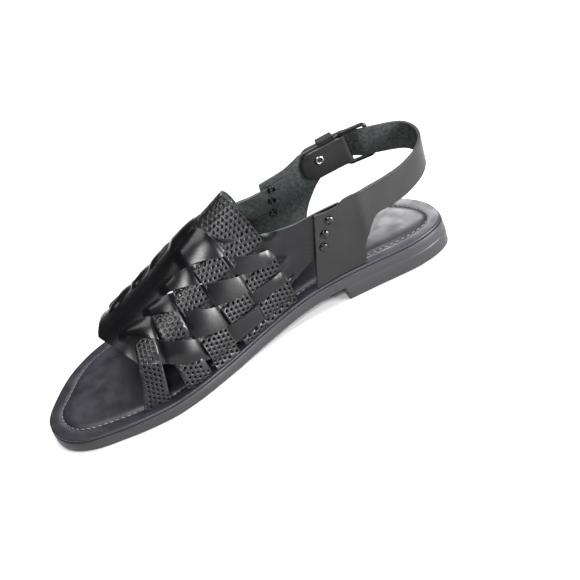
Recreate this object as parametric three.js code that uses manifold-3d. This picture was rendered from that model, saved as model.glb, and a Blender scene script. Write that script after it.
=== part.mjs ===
// Right huarache sandal: a slit leather vamp woven with five perforated strips,
// a low stacked heel, and a buckled strap round the heel.
// Millimetres, +Z up, +X towards the toe, +Y to the inner side of the foot.
import * as THREE from 'three';
import Module from 'manifold-3d';
import { mergeVertices } from 'three/addons/utils/BufferGeometryUtils.js';

const wasm = await Module();
wasm.setup();

// Driving sizes of the last and the sole
const LENGTH = 289;
const BALL_WIDTH = 103.5;
const INSTEP = 86;
const HEEL_RISE = 10.6;
const TOE_SPRING = 1.5;
const OUTSOLE = 7.6;
const INSOLE = 1.8;
const INSOLE_CROWN = 1.4;
const HEEL_BREAST = 79;
const HEEL_INSET = 0.6;
const GAP = 0.3;
const FOOT_GAP = 0.4;
const BAND_GAP = 0.6;

// Leather and metal sizes
const LEATHER = 1.6;
const WEAVE_LIFT = 0.6;
const SLIT_HALF = 1.6;
const STRAP = 2;
const KEEPER = 1.5;
const STRAP_WIDTH = 20.4;
const WIRE = 1.1;
const PRONG = 0.9;
const RIVET_SHANK = 1.3;
const RIVET_HEAD = 3.1;
const RIVET_DOME = 1.1;

// Outline of the sole: inner and outer half widths as shares of the ball width, before the ends are rounded
const OUTLINE = [
  { at: 0.0, inner: 0.195, outer: 0.32 },
  { at: 0.07, inner: 0.186, outer: 0.4 },
  { at: 0.125, inner: 0.183, outer: 0.43 },
  { at: 0.225, inner: 0.16, outer: 0.431 },
  { at: 0.35, inner: 0.138, outer: 0.451 },
  { at: 0.42, inner: 0.153, outer: 0.496 },
  { at: 0.505, inner: 0.202, outer: 0.559 },
  { at: 0.59, inner: 0.277, outer: 0.605 },
  { at: 0.66, inner: 0.34, outer: 0.623 },
  { at: 0.73, inner: 0.378, outer: 0.618 },
  { at: 0.8, inner: 0.371, outer: 0.58 },
  { at: 0.87, inner: 0.346, outer: 0.511 },
  { at: 0.93, inner: 0.355, outer: 0.43 },
  { at: 1.0, inner: 0.38, outer: 0.27 },
];
const HEEL_END = 34;
const TOE_END = 50;
const END_POWER = 2.2;
const SPINE_HEEL = 0.107;
const SPINE_TOE = 0.083;

// Last over the foot: ridge height as a share of the instep, ridge side place as a share of the ball width
const LAST = [
  { at: 0.1, ridge: 1.03, side: -0.058, power: 3.3, flare: 1, inset: 0.045 },
  { at: 0.27, ridge: 1.03, side: -0.058, power: 3.2, flare: 1, inset: 0.045 },
  { at: 0.33, ridge: 1.02, side: -0.056, power: 2.5, flare: 0.8, inset: 0.042 },
  { at: 0.398, ridge: 1.0, side: -0.05, power: 1.85, flare: 0.25, inset: 0.034 },
  { at: 0.484, ridge: 0.914, side: -0.028, power: 1.8, flare: 0, inset: 0.022 },
  { at: 0.57, ridge: 0.817, side: -0.005, power: 1.84, flare: 0, inset: 0.022 },
  { at: 0.657, ridge: 0.672, side: 0.02, power: 1.92, flare: 0, inset: 0.03 },
  { at: 0.744, ridge: 0.555, side: 0.037, power: 2.02, flare: 0, inset: 0.055 },
  { at: 0.83, ridge: 0.462, side: 0.048, power: 2.1, flare: 0, inset: 0.06 },
];
const OUTER_FLARE = 8;
const INNER_FLARE = 2;

// Edges and slits of the vamp, as shares of the way up from the sole to the ridge, where 1 is the ridge
const WEAVE = [
  { at: 0.2, top: 0.47, slit1: 0.415, slit2: 0.36, slit3: 0.305, slit4: 0.25, foot: 0.205 },
  { at: 0.31, top: 0.492, slit1: 0.43, slit2: 0.36, slit3: 0.305, slit4: 0.25, foot: 0.2 },
  { at: 0.356, top: 0.533, slit1: 0.433, slit2: 0.35, slit3: 0.272, slit4: 0.21, foot: 0.16 },
  { at: 0.374, top: 0.557, slit1: 0.44, slit2: 0.35, slit3: 0.268, slit4: 0.182, foot: 0.145 },
  { at: 0.43, top: 0.655, slit1: 0.53, slit2: 0.408, slit3: 0.295, slit4: 0.196, foot: 0.05 },
  { at: 0.474, top: 0.78, slit1: 0.64, slit2: 0.48, slit3: 0.335, slit4: 0.21, foot: 0.065 },
  { at: 0.552, top: 1.02, slit1: 0.79, slit2: 0.63, slit3: 0.438, slit4: 0.25, foot: 0.085 },
  { at: 0.621, top: 1.02, slit1: 0.865, slit2: 0.765, slit3: 0.6, slit4: 0.352, foot: 0.139 },
  { at: 0.69, top: 1.02, slit1: 0.9, slit2: 0.84, slit3: 0.76, slit4: 0.53, foot: 0.297 },
  { at: 0.745, top: 1.02, slit1: 0.93, slit2: 0.88, slit3: 0.83, slit4: 0.73, foot: 0.43 },
  { at: 0.8, top: 1.02, slit1: 0.94, slit2: 0.89, slit3: 0.84, slit4: 0.75, foot: 0.47 },
];
const WEAVE_LINES = ['top', 'slit1', 'slit2', 'slit3', 'slit4', 'foot'];
const SLIT_ENDS = [0.633, 0.671, 0.702, 0.752];
const SLIT_START = 0.381;
const BAND_END = { inner: 0.212, outer: 0.27, lean: 0.22 };
const VAMP_FRONT = { ridge: 0.807, low: 0.752, lowShare: 0.43 };
const THROAT = 0.527;

// Strips, counted from the heel: place at the sole, lean on the way up, width at the sole and at the top
const STRIPS = [
  { foot: 0.422, lean: 0.045, bend: 2.2, width: 24.5, topWidth: 26 },
  { foot: 0.495, lean: 0.041, bend: 1, width: 19, topWidth: 19 },
  { foot: 0.578, lean: 0.021, bend: 1, width: 18, topWidth: 18 },
  { foot: 0.657, lean: 0, bend: 1, width: 18, topWidth: 17 },
  { foot: 0.763, lean: -0.069, bend: 1, width: 18.5, topWidth: 11 },
];
const STRIP_PITCH = 22;

// Smooth interpolation of one column of a table
function column(table, name, at) {
  let i = 0;
  while (i < table.length - 2 && at > table[i + 1].at) i += 1;
  const value = (k) => table[Math.min(Math.max(k, 0), table.length - 1)];
  const slope = (k) => {
    const before = value(k - 1);
    const after = value(k + 1);
    return (after[name] - before[name]) / (after.at - before.at);
  };
  const from = value(i);
  const to = value(i + 1);
  const span = to.at - from.at;
  const t = Math.min(Math.max((at - from.at) / span, 0), 1);
  const t2 = t * t;
  const t3 = t2 * t;
  return (2 * t3 - 3 * t2 + 1) * from[name] + (t3 - 2 * t2 + t) * span * slope(i)
    + (3 * t2 - 2 * t3) * to[name] + (t3 - t2) * span * slope(i + 1);
}

function ease(value, from, to) {
  const t = Math.min(Math.max((value - from) / (to - from), 0), 1);
  return t * t * (3 - 2 * t);
}

// Distance of the sole's edge from the middle plane, side +1 inner and -1 outer
function soleEdge(x, side) {
  const at = x / LENGTH;
  const spine = BALL_WIDTH * (SPINE_HEEL + (SPINE_TOE - SPINE_HEEL) * at);
  const heel = Math.min(Math.max(x / HEEL_END, 0), 1);
  const toe = Math.min(Math.max((LENGTH - x) / TOE_END, 0), 1);
  const round = (1 - (1 - heel) ** END_POWER) ** (1 / END_POWER) * (1 - (1 - toe) ** END_POWER) ** (1 / END_POWER);
  return spine + side * BALL_WIDTH * column(OUTLINE, side > 0 ? 'inner' : 'outer', at) * round;
}

// Height of the outsole's underside
function underside(x) {
  const at = x / LENGTH;
  return HEEL_RISE * (1 - ease(at, 0.22, 0.6)) + TOE_SPRING * ease(at, 0.86, 1.04);
}

const insoleTop = (x) => underside(x) + OUTSOLE + GAP + INSOLE;

// One half section of the last: points by distance from the sole edge up to the ridge
const SECTION_STEPS = 40;
function halfSection(x, side) {
  const at = x / LENGTH;
  const base = insoleTop(x);
  const rise = INSTEP * column(LAST, 'ridge', at);
  const ridge = BALL_WIDTH * column(LAST, 'side', at);
  const inset = BALL_WIDTH * column(LAST, 'inset', at);
  const half = Math.abs(soleEdge(x, side) - ridge) - inset;
  const power = column(LAST, 'power', at);
  const flare = column(LAST, 'flare', at) * (side > 0 ? INNER_FLARE : OUTER_FLARE);
  const points = [];
  let length = 0;
  for (let i = 0; i <= SECTION_STEPS; i += 1) {
    const turn = (i / SECTION_STEPS) * Math.PI / 2;
    const up = Math.sin(turn) ** (2 / power);
    const out = Math.max(Math.cos(turn), 0) ** (2 / power);
    const y = ridge + side * (half * out + flare * up * (1 - up ** 4));
    const z = base + rise * up;
    if (i > 0) length += Math.hypot(y - points[i - 1].y, z - points[i - 1].z);
    points.push({ y, z, length });
  }
  return points;
}

// Point of the last at x and a share of the way from the sole edge to the ridge
function onLast(x, share, side) {
  if (share > 1) return onLast(x, 2 - share, -side);
  const points = halfSection(x, side);
  const wanted = Math.max(share, 0) * points[SECTION_STEPS].length;
  let i = 0;
  while (i < SECTION_STEPS - 1 && points[i + 1].length < wanted) i += 1;
  const t = (wanted - points[i].length) / (points[i + 1].length - points[i].length);
  return new THREE.Vector3(x, points[i].y + t * (points[i + 1].y - points[i].y),
    points[i].z + t * (points[i + 1].z - points[i].z));
}

// The same point moved outwards along the last's own normal
const PROBE = 1.5;
const SHARE_PROBE = 0.03;
function offLast(x, share, side, out) {
  const point = onLast(x, share, side);
  const along = onLast(x + PROBE, share, side).sub(onLast(x - PROBE, share, side));
  const low = Math.max(share - SHARE_PROBE, 0);
  const across = onLast(x, share + SHARE_PROBE, side).sub(onLast(x, low, side));
  const normal = along.cross(across).multiplyScalar(-side).normalize();
  return point.addScaledVector(normal, out);
}

// Share of the slit or edge line at a finger count: 0.5 is the top edge and 5.5 the lowest edge
function fingerLine(count, x) {
  const at = x / LENGTH;
  const place = Math.min(Math.max(count - 0.5, 0), WEAVE_LINES.length - 1);
  const i = Math.min(Math.floor(place), WEAVE_LINES.length - 2);
  const upper = column(WEAVE, WEAVE_LINES[i], at);
  const lower = column(WEAVE, WEAVE_LINES[i + 1], at);
  return upper + (lower - upper) * (place - i);
}

// Finger count at a place on the last, running on below the lowest finger
function fingerCount(x, share) {
  for (let i = 0; i < WEAVE_LINES.length - 1; i += 1) {
    const upper = fingerLine(i + 0.5, x);
    const lower = fingerLine(i + 1.5, x);
    if (share >= lower) return i + 0.5 + Math.min(Math.max((upper - share) / (upper - lower), 0), 1);
  }
  const foot = fingerLine(5.5, x);
  return 5.5 + 0.5 * (foot - share) / Math.max(foot, 0.05);
}

const stripMiddle = (strip, share) => LENGTH * (strip.foot + strip.lean * Math.min(share, 1) ** strip.bend);

// Strip count at a place on the last
function stripCount(x, share) {
  const middles = STRIPS.map((strip) => stripMiddle(strip, share));
  if (x <= middles[0]) return 1 - (middles[0] - x) / STRIP_PITCH;
  for (let i = 0; i < middles.length - 1; i += 1) {
    if (x <= middles[i + 1]) return i + 1 + (x - middles[i]) / (middles[i + 1] - middles[i]);
  }
  return middles.length + (x - middles[middles.length - 1]) / STRIP_PITCH;
}

// How far the slit vamp dips or rises where it is woven, and lies flat past the slits
function vampLift(x, share) {
  const count = fingerCount(x, share);
  const ends = [THROAT, ...SLIT_ENDS, VAMP_FRONT.ridge];
  const place = Math.min(Math.max(count - 0.5, 0), ends.length - 1);
  const i = Math.min(Math.floor(place), ends.length - 2);
  const end = ends[i] + (ends[i + 1] - ends[i]) * (place - i);
  const woven = ease(x / LENGTH, 0.35, 0.385) * (1 - ease(x / LENGTH, end - 0.04, end));
  return -WEAVE_LIFT * woven * Math.cos(Math.PI * stripCount(x, share)) * Math.cos(Math.PI * count);
}

function stripLift(number, share) {
  const x = stripMiddle(STRIPS[number - 1], share);
  const count = fingerCount(x, share);
  return count < 0.55 ? 0 : WEAVE_LIFT * Math.cos(Math.PI * (count - number));
}

// A closed solid through a row of sections, each a loop of as many points
function loft(sections) {
  const count = sections[0].length;
  const positions = [];
  const index = [];
  const add = (point) => {
    positions.push(point.x, point.y, point.z);
    return positions.length / 3 - 1;
  };
  sections.forEach((section) => section.forEach(add));
  for (let i = 0; i < sections.length - 1; i += 1) {
    for (let j = 0; j < count; j += 1) {
      const a = i * count + j;
      const b = i * count + ((j + 1) % count);
      index.push(a, b, b + count, a, b + count, a + count);
    }
  }
  const cap = (section, first, turned) => {
    const middle = section.reduce((sum, point) => sum.add(point), new THREE.Vector3()).divideScalar(count);
    const centre = add(middle);
    for (let j = 0; j < count; j += 1) {
      const a = first + j;
      const b = first + ((j + 1) % count);
      index.push(...(turned ? [centre, b, a] : [centre, a, b]));
    }
  };
  cap(sections[0], 0, true);
  cap(sections[sections.length - 1], (sections.length - 1) * count, false);
  const geometry = new THREE.BufferGeometry();
  geometry.setAttribute('position', new THREE.Float32BufferAttribute(positions, 3));
  geometry.setIndex(index);
  return facingOut(geometry);
}

function facingOut(geometry) {
  const p = geometry.attributes.position;
  const index = geometry.index.array;
  const [a, b, c] = [new THREE.Vector3(), new THREE.Vector3(), new THREE.Vector3()];
  let volume = 0;
  for (let i = 0; i < index.length; i += 3) {
    a.fromBufferAttribute(p, index[i]);
    b.fromBufferAttribute(p, index[i + 1]);
    c.fromBufferAttribute(p, index[i + 2]);
    volume += a.dot(b.cross(c));
  }
  if (volume < 0) {
    for (let i = 0; i < index.length; i += 3) [index[i + 1], index[i + 2]] = [index[i + 2], index[i + 1]];
  }
  return geometry;
}

// Conversions to and from the boolean library
function solid(geometry) {
  const bare = geometry.clone();
  bare.deleteAttribute('normal');
  bare.deleteAttribute('uv');
  const merged = mergeVertices(bare, 1e-4);
  return new wasm.Manifold(new wasm.Mesh({
    numProp: 3,
    vertProperties: new Float32Array(merged.attributes.position.array),
    triVerts: new Uint32Array(merged.index.array),
  }));
}

function geometryOf(manifold) {
  const mesh = manifold.getMesh();
  const geometry = new THREE.BufferGeometry();
  geometry.setAttribute('position', new THREE.Float32BufferAttribute(mesh.vertProperties, 3));
  geometry.setIndex(Array.from(mesh.triVerts));
  return geometry;
}

const steps = (from, to, count) => Array.from({ length: count + 1 }, (_, i) => from + (to - from) * (i / count));

// Rows of numbers resampled along a smooth curve, the given rows kept
function resampled(rows, perRow) {
  const names = Object.keys(rows[0]);
  const keyed = rows.map((row, i) => ({ at: i, ...row }));
  return steps(0, rows.length - 1, (rows.length - 1) * perRow)
    .map((at) => Object.fromEntries(names.map((name) => [name, column(keyed, name, at)])));
}

// Sole pieces: a section runs under from the outer to the inner edge and back over the top
const SOLE_STATIONS = 26;
function slab(from, to, inset, bottom, top, rim) {
  const stations = steps(0, 1, SOLE_STATIONS).map((t) => from + (to - from) * (1 - Math.cos(Math.PI * t)) / 2);
  const first = 0.35;
  return loft(stations.map((raw) => {
    const x = Math.min(Math.max(raw, from + first), to - first);
    const scale = (LENGTH - 2 * inset) / LENGTH;
    const source = inset > 0 ? (x - inset) / scale : x;
    const inner = soleEdge(source, 1) - inset;
    const outer = soleEdge(source, -1) + inset;
    const middle = (inner + outer) / 2;
    const half = (inner - outer) / 2;
    const crown = Math.min(half * 0.45, rim.width);
    const point = (y, z) => new THREE.Vector3(x, y, z);
    return [
      point(outer + rim.bevel * Math.min(half / 6, 1), bottom(x)),
      point(inner - rim.bevel * Math.min(half / 6, 1), bottom(x)),
      point(inner, bottom(x) + rim.bevel),
      point(inner, top(x) - rim.bevel),
      point(inner - rim.bevel * Math.min(half / 6, 1), top(x)),
      point(inner - crown, top(x)),
      point(inner - crown * 1.5, top(x) + rim.crown * Math.min(half / 20, 1)),
      point(middle, top(x) + rim.crown * Math.min(half / 20, 1)),
      point(outer + crown * 1.5, top(x) + rim.crown * Math.min(half / 20, 1)),
      point(outer + crown, top(x)),
      point(outer + rim.bevel * Math.min(half / 6, 1), top(x)),
      point(outer, top(x) - rim.bevel),
      point(outer, bottom(x) + rim.bevel),
    ];
  }));
}

function outsole() {
  return slab(0, LENGTH, 0, underside, (x) => underside(x) + OUTSOLE, { bevel: 0.6, width: 8, crown: 0 });
}

function insole() {
  const bottom = (x) => underside(x) + OUTSOLE + GAP;
  return slab(0, LENGTH, 0.4, bottom, insoleTop, { bevel: 0.5, width: 11, crown: INSOLE_CROWN });
}

// The heel block stands on the floor under the flat rear of the outsole, with an upright breast
function heelBlock() {
  const top = (x) => underside(x) - GAP;
  const whole = slab(HEEL_INSET, LENGTH, HEEL_INSET, () => 0, (x) => Math.max(top(x), 1.6),
    { bevel: 0.5, width: 8, crown: 0 });
  const reach = new THREE.BoxGeometry(LENGTH, 2 * BALL_WIDTH, 4 * HEEL_RISE);
  reach.translate(HEEL_BREAST + LENGTH / 2, 0, 0);
  return geometryOf(solid(whole).subtract(solid(reach)));
}

// The slit vamp with its quarter bands, as one sheet over the ridge, before the throat and slits are cut
const SHEET_STATIONS = [
  0.208, 0.27, 0.33, 0.356, 0.366, 0.381, 0.402, 0.424, 0.449, 0.474, 0.5, 0.527, 0.552, 0.58, 0.61, 0.64, 0.67, 0.7,
  0.73,
];
const TRIM_SHARE = 0.02;
const SHEET_ROWS = [5.5, 5, 4.5, 4, 3.5, 3, 2.5, 2, 1.5, 1];

function frontEdge(share) {
  const { ridge, low, lowShare } = VAMP_FRONT;
  const way = Math.min(Math.max((1 - share) / (1 - lowShare), 0), 1);
  return LENGTH * (ridge + (low - ridge) * way ** 1.2);
}

function sheetPlace(at, count, side) {
  const rear = LENGTH * at;
  let share = count === 0 ? 1 : fingerLine(count, rear);
  if (count === 1) share = Math.min((1 + fingerLine(1.5, rear)) / 2, fingerLine(0.5, rear) + TRIM_SHARE);
  return { x: rear, share: Math.min(share, 1), side };
}

function sheet() {
  const rows = [...SHEET_ROWS.map((count) => [count, 1]), [0, 1], ...SHEET_ROWS.map((count) => [count, -1]).reverse()];
  const loop = (places) => {
    const outer = places.map(({ x, share, side }) => offLast(x, share, side, vampLift(x, share) + LEATHER / 2));
    const inner = places.map(({ x, share, side }) => offLast(x, share, side, vampLift(x, share) - LEATHER / 2));
    return [...outer, ...inner.reverse()];
  };
  const sections = SHEET_STATIONS.map((at) => loop(rows.map(([count, side]) => sheetPlace(at, count, side))));
  const last = SHEET_STATIONS[SHEET_STATIONS.length - 1];
  [0.5, 1].forEach((part) => {
    sections.push(loop(rows.map(([count, side]) => {
      const { share } = sheetPlace(last, count, side);
      const x = LENGTH * last + (frontEdge(share) - LENGTH * last) * part;
      return { x, share: share + (fingerLine(5.5, x) - fingerLine(5.5, LENGTH * last)) * (1 - share) * part, side };
    })));
  });
  return solid(loft(sections));
}

// A cutter that follows the last between two share lines
const CUT_DEPTH = 7;
function cutter(stations, low, high, side) {
  const sections = stations.map((x) => {
    const shares = [low(x), high(x)];
    const outer = shares.map((share) => offLast(x, share, side, CUT_DEPTH));
    const inner = shares.map((share) => offLast(x, share, side, -CUT_DEPTH));
    return [...outer, ...inner.reverse()];
  });
  return solid(loft(sections));
}

function throatCutter() {
  const stations = steps(LENGTH * 0.18, LENGTH * THROAT, 16);
  const edge = (x) => {
    const pinch = ease(x / LENGTH, 0.474, THROAT);
    return Math.min(column(WEAVE, 'top', x / LENGTH) * (1 - pinch) + 0.995 * pinch, 0.995);
  };
  const sections = stations.map((x) => {
    const inner = steps(edge(x), 1, 4).map((share) => [share, 1]);
    const outer = steps(1, edge(x), 4).slice(1).map((share) => [share, -1]);
    const places = [...inner, ...outer];
    const over = places.map(([share, side]) => offLast(x, share, side, CUT_DEPTH));
    const under = places.map(([share, side]) => offLast(x, share, side, -CUT_DEPTH));
    return [...over, ...under.reverse()];
  });
  return solid(loft(sections));
}

function slitCutter(number, side) {
  const from = LENGTH * SLIT_START;
  const to = LENGTH * SLIT_ENDS[number - 1];
  const half = (x) => {
    const opened = Math.min((x - from) / 10, (to - x) / 14, 1);
    return (0.15 + SLIT_HALF * Math.max(opened, 0)) / halfSection(x, side)[SECTION_STEPS].length;
  };
  const line = (x) => fingerLine(number + 0.5, x);
  return cutter(steps(from, to, 6), (x) => line(x) - half(x), (x) => line(x) + half(x), side);
}

// A strip from the sole up to where it is tucked under the vamp, or over the ridge to the other side
const STRIP_STEPS = 9;
function stripSection(strip, number, share, side) {
  const middle = stripMiddle(strip, share);
  const width = strip.width + (strip.topWidth - strip.width) * share;
  const lift = stripLift(number, share);
  const outer = [-0.5, 0.5].map((part) => offLast(middle + part * width, share, side, lift + LEATHER / 2));
  const inner = [0.5, -0.5].map((part) => offLast(middle + part * width, share, side, lift - LEATHER / 2));
  return [...outer, ...inner];
}

function strips() {
  const footShare = 0.004;
  return STRIPS.flatMap((strip, i) => {
    const number = i + 1;
    const run = (to, side) => steps(footShare, to, STRIP_STEPS).map((share) => stripSection(strip, number, share, side));
    if (number === 1) {
      return [solid(loft([...run(1, 1), ...run(1, -1).reverse().slice(1)]))];
    }
    const tucked = fingerLine(number - 1, stripMiddle(strip, 0.7));
    return [1, -1].map((side) => solid(loft(run(tucked, side))));
  });
}

const footOf = (x) => insoleTop(x) + FOOT_GAP;

// Side of the last at a height, and the middle of a heel piece that lies outside the quarter band there
function sideWall(x, z, side) {
  const points = halfSection(x, side);
  let i = 0;
  while (i < SECTION_STEPS - 1 && points[i + 1].z < z) i += 1;
  const t = Math.min(Math.max((z - points[i].z) / (points[i + 1].z - points[i].z), 0), 1);
  return points[i].y + t * (points[i + 1].y - points[i].y);
}

const OUTSIDE_BAND = LEATHER / 2 + BAND_GAP + STRAP / 2;
const overBand = (x, z, side) => sideWall(x, z, side) + side * OUTSIDE_BAND;

function pieceRow(side, lowX, lowZ, topX, topZ) {
  const midY = overBand((lowX + topX) / 2, (lowZ + topZ) / 2, side);
  return { lowX, lowY: overBand(lowX, lowZ, side), lowZ, midY, topX, topY: overBand(topX, topZ, side), topZ };
}

// Inner heel piece: from its slanted front edge up into the strap, round the heel and on to the buckle
const ANKLE = 69.5;
const INNER_PIECE = [
  pieceRow(1, 95, footOf(95), 79, ANKLE),
  pieceRow(1, 83, footOf(83), 72, ANKLE - 0.5),
  pieceRow(1, 71, footOf(71), 64.5, ANKLE - 0.3),
  pieceRow(1, 60, footOf(60), 58, ANKLE + 2.1),
  pieceRow(1, 56.8, 31, 53.5, ANKLE + 2.5),
  pieceRow(1, 51.5, 40.5, 48, ANKLE + 2.5),
];
const BAR = { x: 34, y: -34.5 };
const BUCKLE_LENGTH = 17.5;
const BUCKLE_TURN = 2.8;
const farBar = { x: BAR.x - BUCKLE_LENGTH, y: BAR.y + BUCKLE_TURN };
const TAIL_Y = BAR.y - 4.8;
const NECK_LOW = 57;
const NECK_TOP = NECK_LOW + STRAP_WIDTH;
const NECK_MIDDLE = (NECK_LOW + NECK_TOP) / 2;
const besideBuckle = (x, y, lowZ) => ({ lowX: x, lowY: y, lowZ, topX: x, topY: y, topZ: lowZ + STRAP_WIDTH });
const STRAP_RUN = [
  { lowX: 42, lowY: 23.2, lowZ: 48.8, topX: 41, topY: 23.8, topZ: 71 },
  { lowX: 29, lowY: 19.6, lowZ: 47.3, topX: 28, topY: 19.8, topZ: 68.9 },
  { lowX: 15, lowY: 14.6, lowZ: 46.8, topX: 13.5, topY: 14.1, topZ: 67.2 },
  { lowX: 2, lowY: 7, lowZ: 47.6, topX: 0, topY: 6.8, topZ: 67.7 },
  { lowX: -5.5, lowY: -1.5, lowZ: 50, topX: -8, topY: -2, topZ: 70.2 },
  { lowX: -6.5, lowY: -11, lowZ: 52.6, topX: -8.7, topY: -12, topZ: 72.8 },
  { lowX: -1, lowY: -20.5, lowZ: 54.8, topX: -2.6, topY: -21.2, topZ: 74.9 },
  besideBuckle(farBar.x - 1.5, farBar.y + 3.6, 56.8),
  besideBuckle(farBar.x + 6, farBar.y - 0.1, 56.9),
  besideBuckle(BAR.x - 5, BAR.y - 3.8, NECK_LOW),
  besideBuckle(BAR.x + 1, TAIL_Y - 0.5, NECK_LOW),
  besideBuckle(46, TAIL_Y, NECK_LOW),
  besideBuckle(58, TAIL_Y, NECK_LOW),
  { lowX: 64, lowY: TAIL_Y, lowZ: NECK_LOW + 4, topX: 64, topY: TAIL_Y, topZ: NECK_TOP - 4 },
];

// Outer heel piece: from its slanted front edge up into a neck that folds round the buckle bar
const FOLD = 2.7;
const NECK_Y = -36.5;
const FLAP_Y = -32.4;
const OUTER_PIECE = [
  pieceRow(-1, 105, footOf(105), 95.5, 73),
  pieceRow(-1, 97, footOf(97), 89, 73),
  pieceRow(-1, 88, footOf(88), 82, 73.2),
  pieceRow(-1, 79, footOf(79), 76, 74),
  pieceRow(-1, 75.8, 31, 71.5, 75.5),
  pieceRow(-1, 71.5, 40, 67.5, 77),
];
const NECK = [
  { lowX: 64, lowY: -35.9, lowZ: 47.8, topX: 63, topY: -36, topZ: 77.6 },
  { lowX: 57, lowY: NECK_Y, lowZ: 53.4, topX: 57, topY: NECK_Y, topZ: NECK_TOP },
  { lowX: 50, lowY: NECK_Y, lowZ: NECK_LOW, topX: 50, topY: NECK_Y, topZ: NECK_TOP },
  { lowX: 39, lowY: NECK_Y, lowZ: NECK_LOW, topX: 39, topY: NECK_Y, topZ: NECK_TOP },
];
const FLAP_ROWS = [
  { x: 39, low: 0, top: 0 },
  { x: 59.5, low: 0, top: 0 },
  { x: 65.2, low: 5, top: 6 },
];

const withMiddle = (row) => ({ ...row, midY: (row.lowY + row.topY) / 2 });

// A leather piece on edge: each row is one upright section, given by its low and top edges and its bulge
function wall(rows, thickness) {
  const lows = rows.map((row) => new THREE.Vector3(row.lowX, row.lowY, Math.max(row.lowZ, footOf(row.lowX))));
  const tops = rows.map((row) => new THREE.Vector3(row.topX, row.topY, row.topZ));
  const sections = rows.map((_, i) => {
    const before = Math.max(i - 1, 0);
    const after = Math.min(i + 1, rows.length - 1);
    const along = tops[after].clone().add(lows[after]).sub(tops[before]).sub(lows[before]);
    const normal = tops[i].clone().sub(lows[i]).cross(along).normalize().multiplyScalar(thickness / 2);
    const middle = lows[i].clone().lerp(tops[i], 0.5).setY(rows[i].midY);
    const levels = [lows[i], middle, tops[i]];
    return [...levels.map((point) => point.clone().add(normal)),
      ...levels.reverse().map((point) => point.clone().sub(normal))];
  });
  return solid(loft(sections));
}

function rod(from, to, radius) {
  const length = from.distanceTo(to);
  const cylinder = new THREE.CylinderGeometry(radius, radius, length, 10);
  const turn = new THREE.Quaternion().setFromUnitVectors(new THREE.Vector3(0, 1, 0), to.clone().sub(from).normalize());
  cylinder.applyQuaternion(turn);
  const middle = from.clone().lerp(to, 0.5);
  cylinder.translate(middle.x, middle.y, middle.z);
  return solid(cylinder);
}

// Rivets through the quarter bands, by place along and above the floor
const RIVETS = {
  inner: [{ x: 71, z: 62.5 }, { x: 77, z: 54.5 }, { x: 80.5, z: 46 }],
  outer: [{ x: 89.5, z: 67 }, { x: 92, z: 59 }, { x: 94.5, z: 50.4 }],
};
const RIVET_SIDES = 8;
const RIVET_CLEARANCE = 0.9;
const RIVET_STACK = LEATHER + BAND_GAP + STRAP;

// A rivet's line is square to the leather: from the band's inner face outwards
function rivetAxis({ x, z }, side, extra) {
  const alongSlope = (sideWall(x + PROBE, z, side) - sideWall(x - PROBE, z, side)) / (2 * PROBE);
  const upSlope = (sideWall(x, z + PROBE, side) - sideWall(x, z - PROBE, side)) / (2 * PROBE);
  const outward = new THREE.Vector3(-alongSlope, 1, -upSlope).multiplyScalar(side).normalize();
  const middle = new THREE.Vector3(x, sideWall(x, z, side), z);
  const inside = middle.clone().addScaledVector(outward, -LEATHER / 2 - extra);
  const outside = inside.clone().addScaledVector(outward, RIVET_STACK + 2 * extra);
  return [inside, outside];
}

const rivetHoles = (side) => RIVETS[side > 0 ? 'inner' : 'outer']
  .map((place) => rod(...rivetAxis(place, side, 3), RIVET_SHANK + GAP));

// A turned rivet: a rolled ring inside the shoe, a shank, and a low dome outside
function rivet(place, side, stack) {
  const start = -RIVET_CLEARANCE;
  const end = stack + RIVET_CLEARANCE;
  const profile = [
    [0, start + 0.2], [RIVET_SHANK * 0.7, start + 0.2], [RIVET_SHANK, start - RIVET_DOME * 0.8],
    [RIVET_HEAD * 0.75, start - RIVET_DOME * 0.8], [RIVET_HEAD, start], [RIVET_SHANK, start],
    [RIVET_SHANK, end], [RIVET_HEAD, end], [RIVET_HEAD * 0.75, end + RIVET_DOME * 0.7], [0, end + RIVET_DOME],
  ];
  const geometry = new THREE.LatheGeometry(profile.map(([r, h]) => new THREE.Vector2(r, h)), RIVET_SIDES);
  const [inside, outside] = rivetAxis(place, side, 0);
  const outward = outside.clone().sub(inside).normalize();
  geometry.applyQuaternion(new THREE.Quaternion().setFromUnitVectors(new THREE.Vector3(0, 1, 0), outward));
  geometry.translate(inside.x, inside.y, inside.z);
  return geometryOf(solid(facingOut(mergeVertices(bareOf(geometry), 1e-4))));
}

function bareOf(geometry) {
  const bare = geometry.clone();
  bare.deleteAttribute('normal');
  bare.deleteAttribute('uv');
  return bare;
}

// The band ends lie inside the heel pieces; each end is cut on a slant
function bandEndCutter(end, side) {
  const tall = 2 * INSTEP;
  const edge = (z) => LENGTH * end + BAND_END.lean * (ANKLE - z);
  const section = (y) => [[-LENGTH, 0], [edge(0), 0], [edge(tall), tall], [-LENGTH, tall]]
    .map(([x, z]) => new THREE.Vector3(x, y, z));
  return solid(loft([section(0), section(side * BALL_WIDTH)]));
}

const FACET_TOLERANCE = 0.1;
function upper() {
  let body = sheet().subtract(throatCutter());
  [1, -1].forEach((side) => {
    SLIT_ENDS.forEach((_, i) => {
      body = body.subtract(slitCutter(i + 1, side));
    });
    body = body.subtract(bandEndCutter(side > 0 ? BAND_END.inner : BAND_END.outer, side));
    rivetHoles(side).forEach((hole) => {
      body = body.subtract(hole);
    });
  });
  strips().forEach((strip) => {
    body = body.add(strip);
  });
  return geometryOf(outerBody(body).simplify(FACET_TOLERANCE));
}

// The joined wall without the closed pockets that lie between crossing strips
function outerBody(joined) {
  const bodies = joined.decompose();
  return bodies.reduce((largest, body) => (body.volume() > largest.volume() ? body : largest));
}

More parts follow.
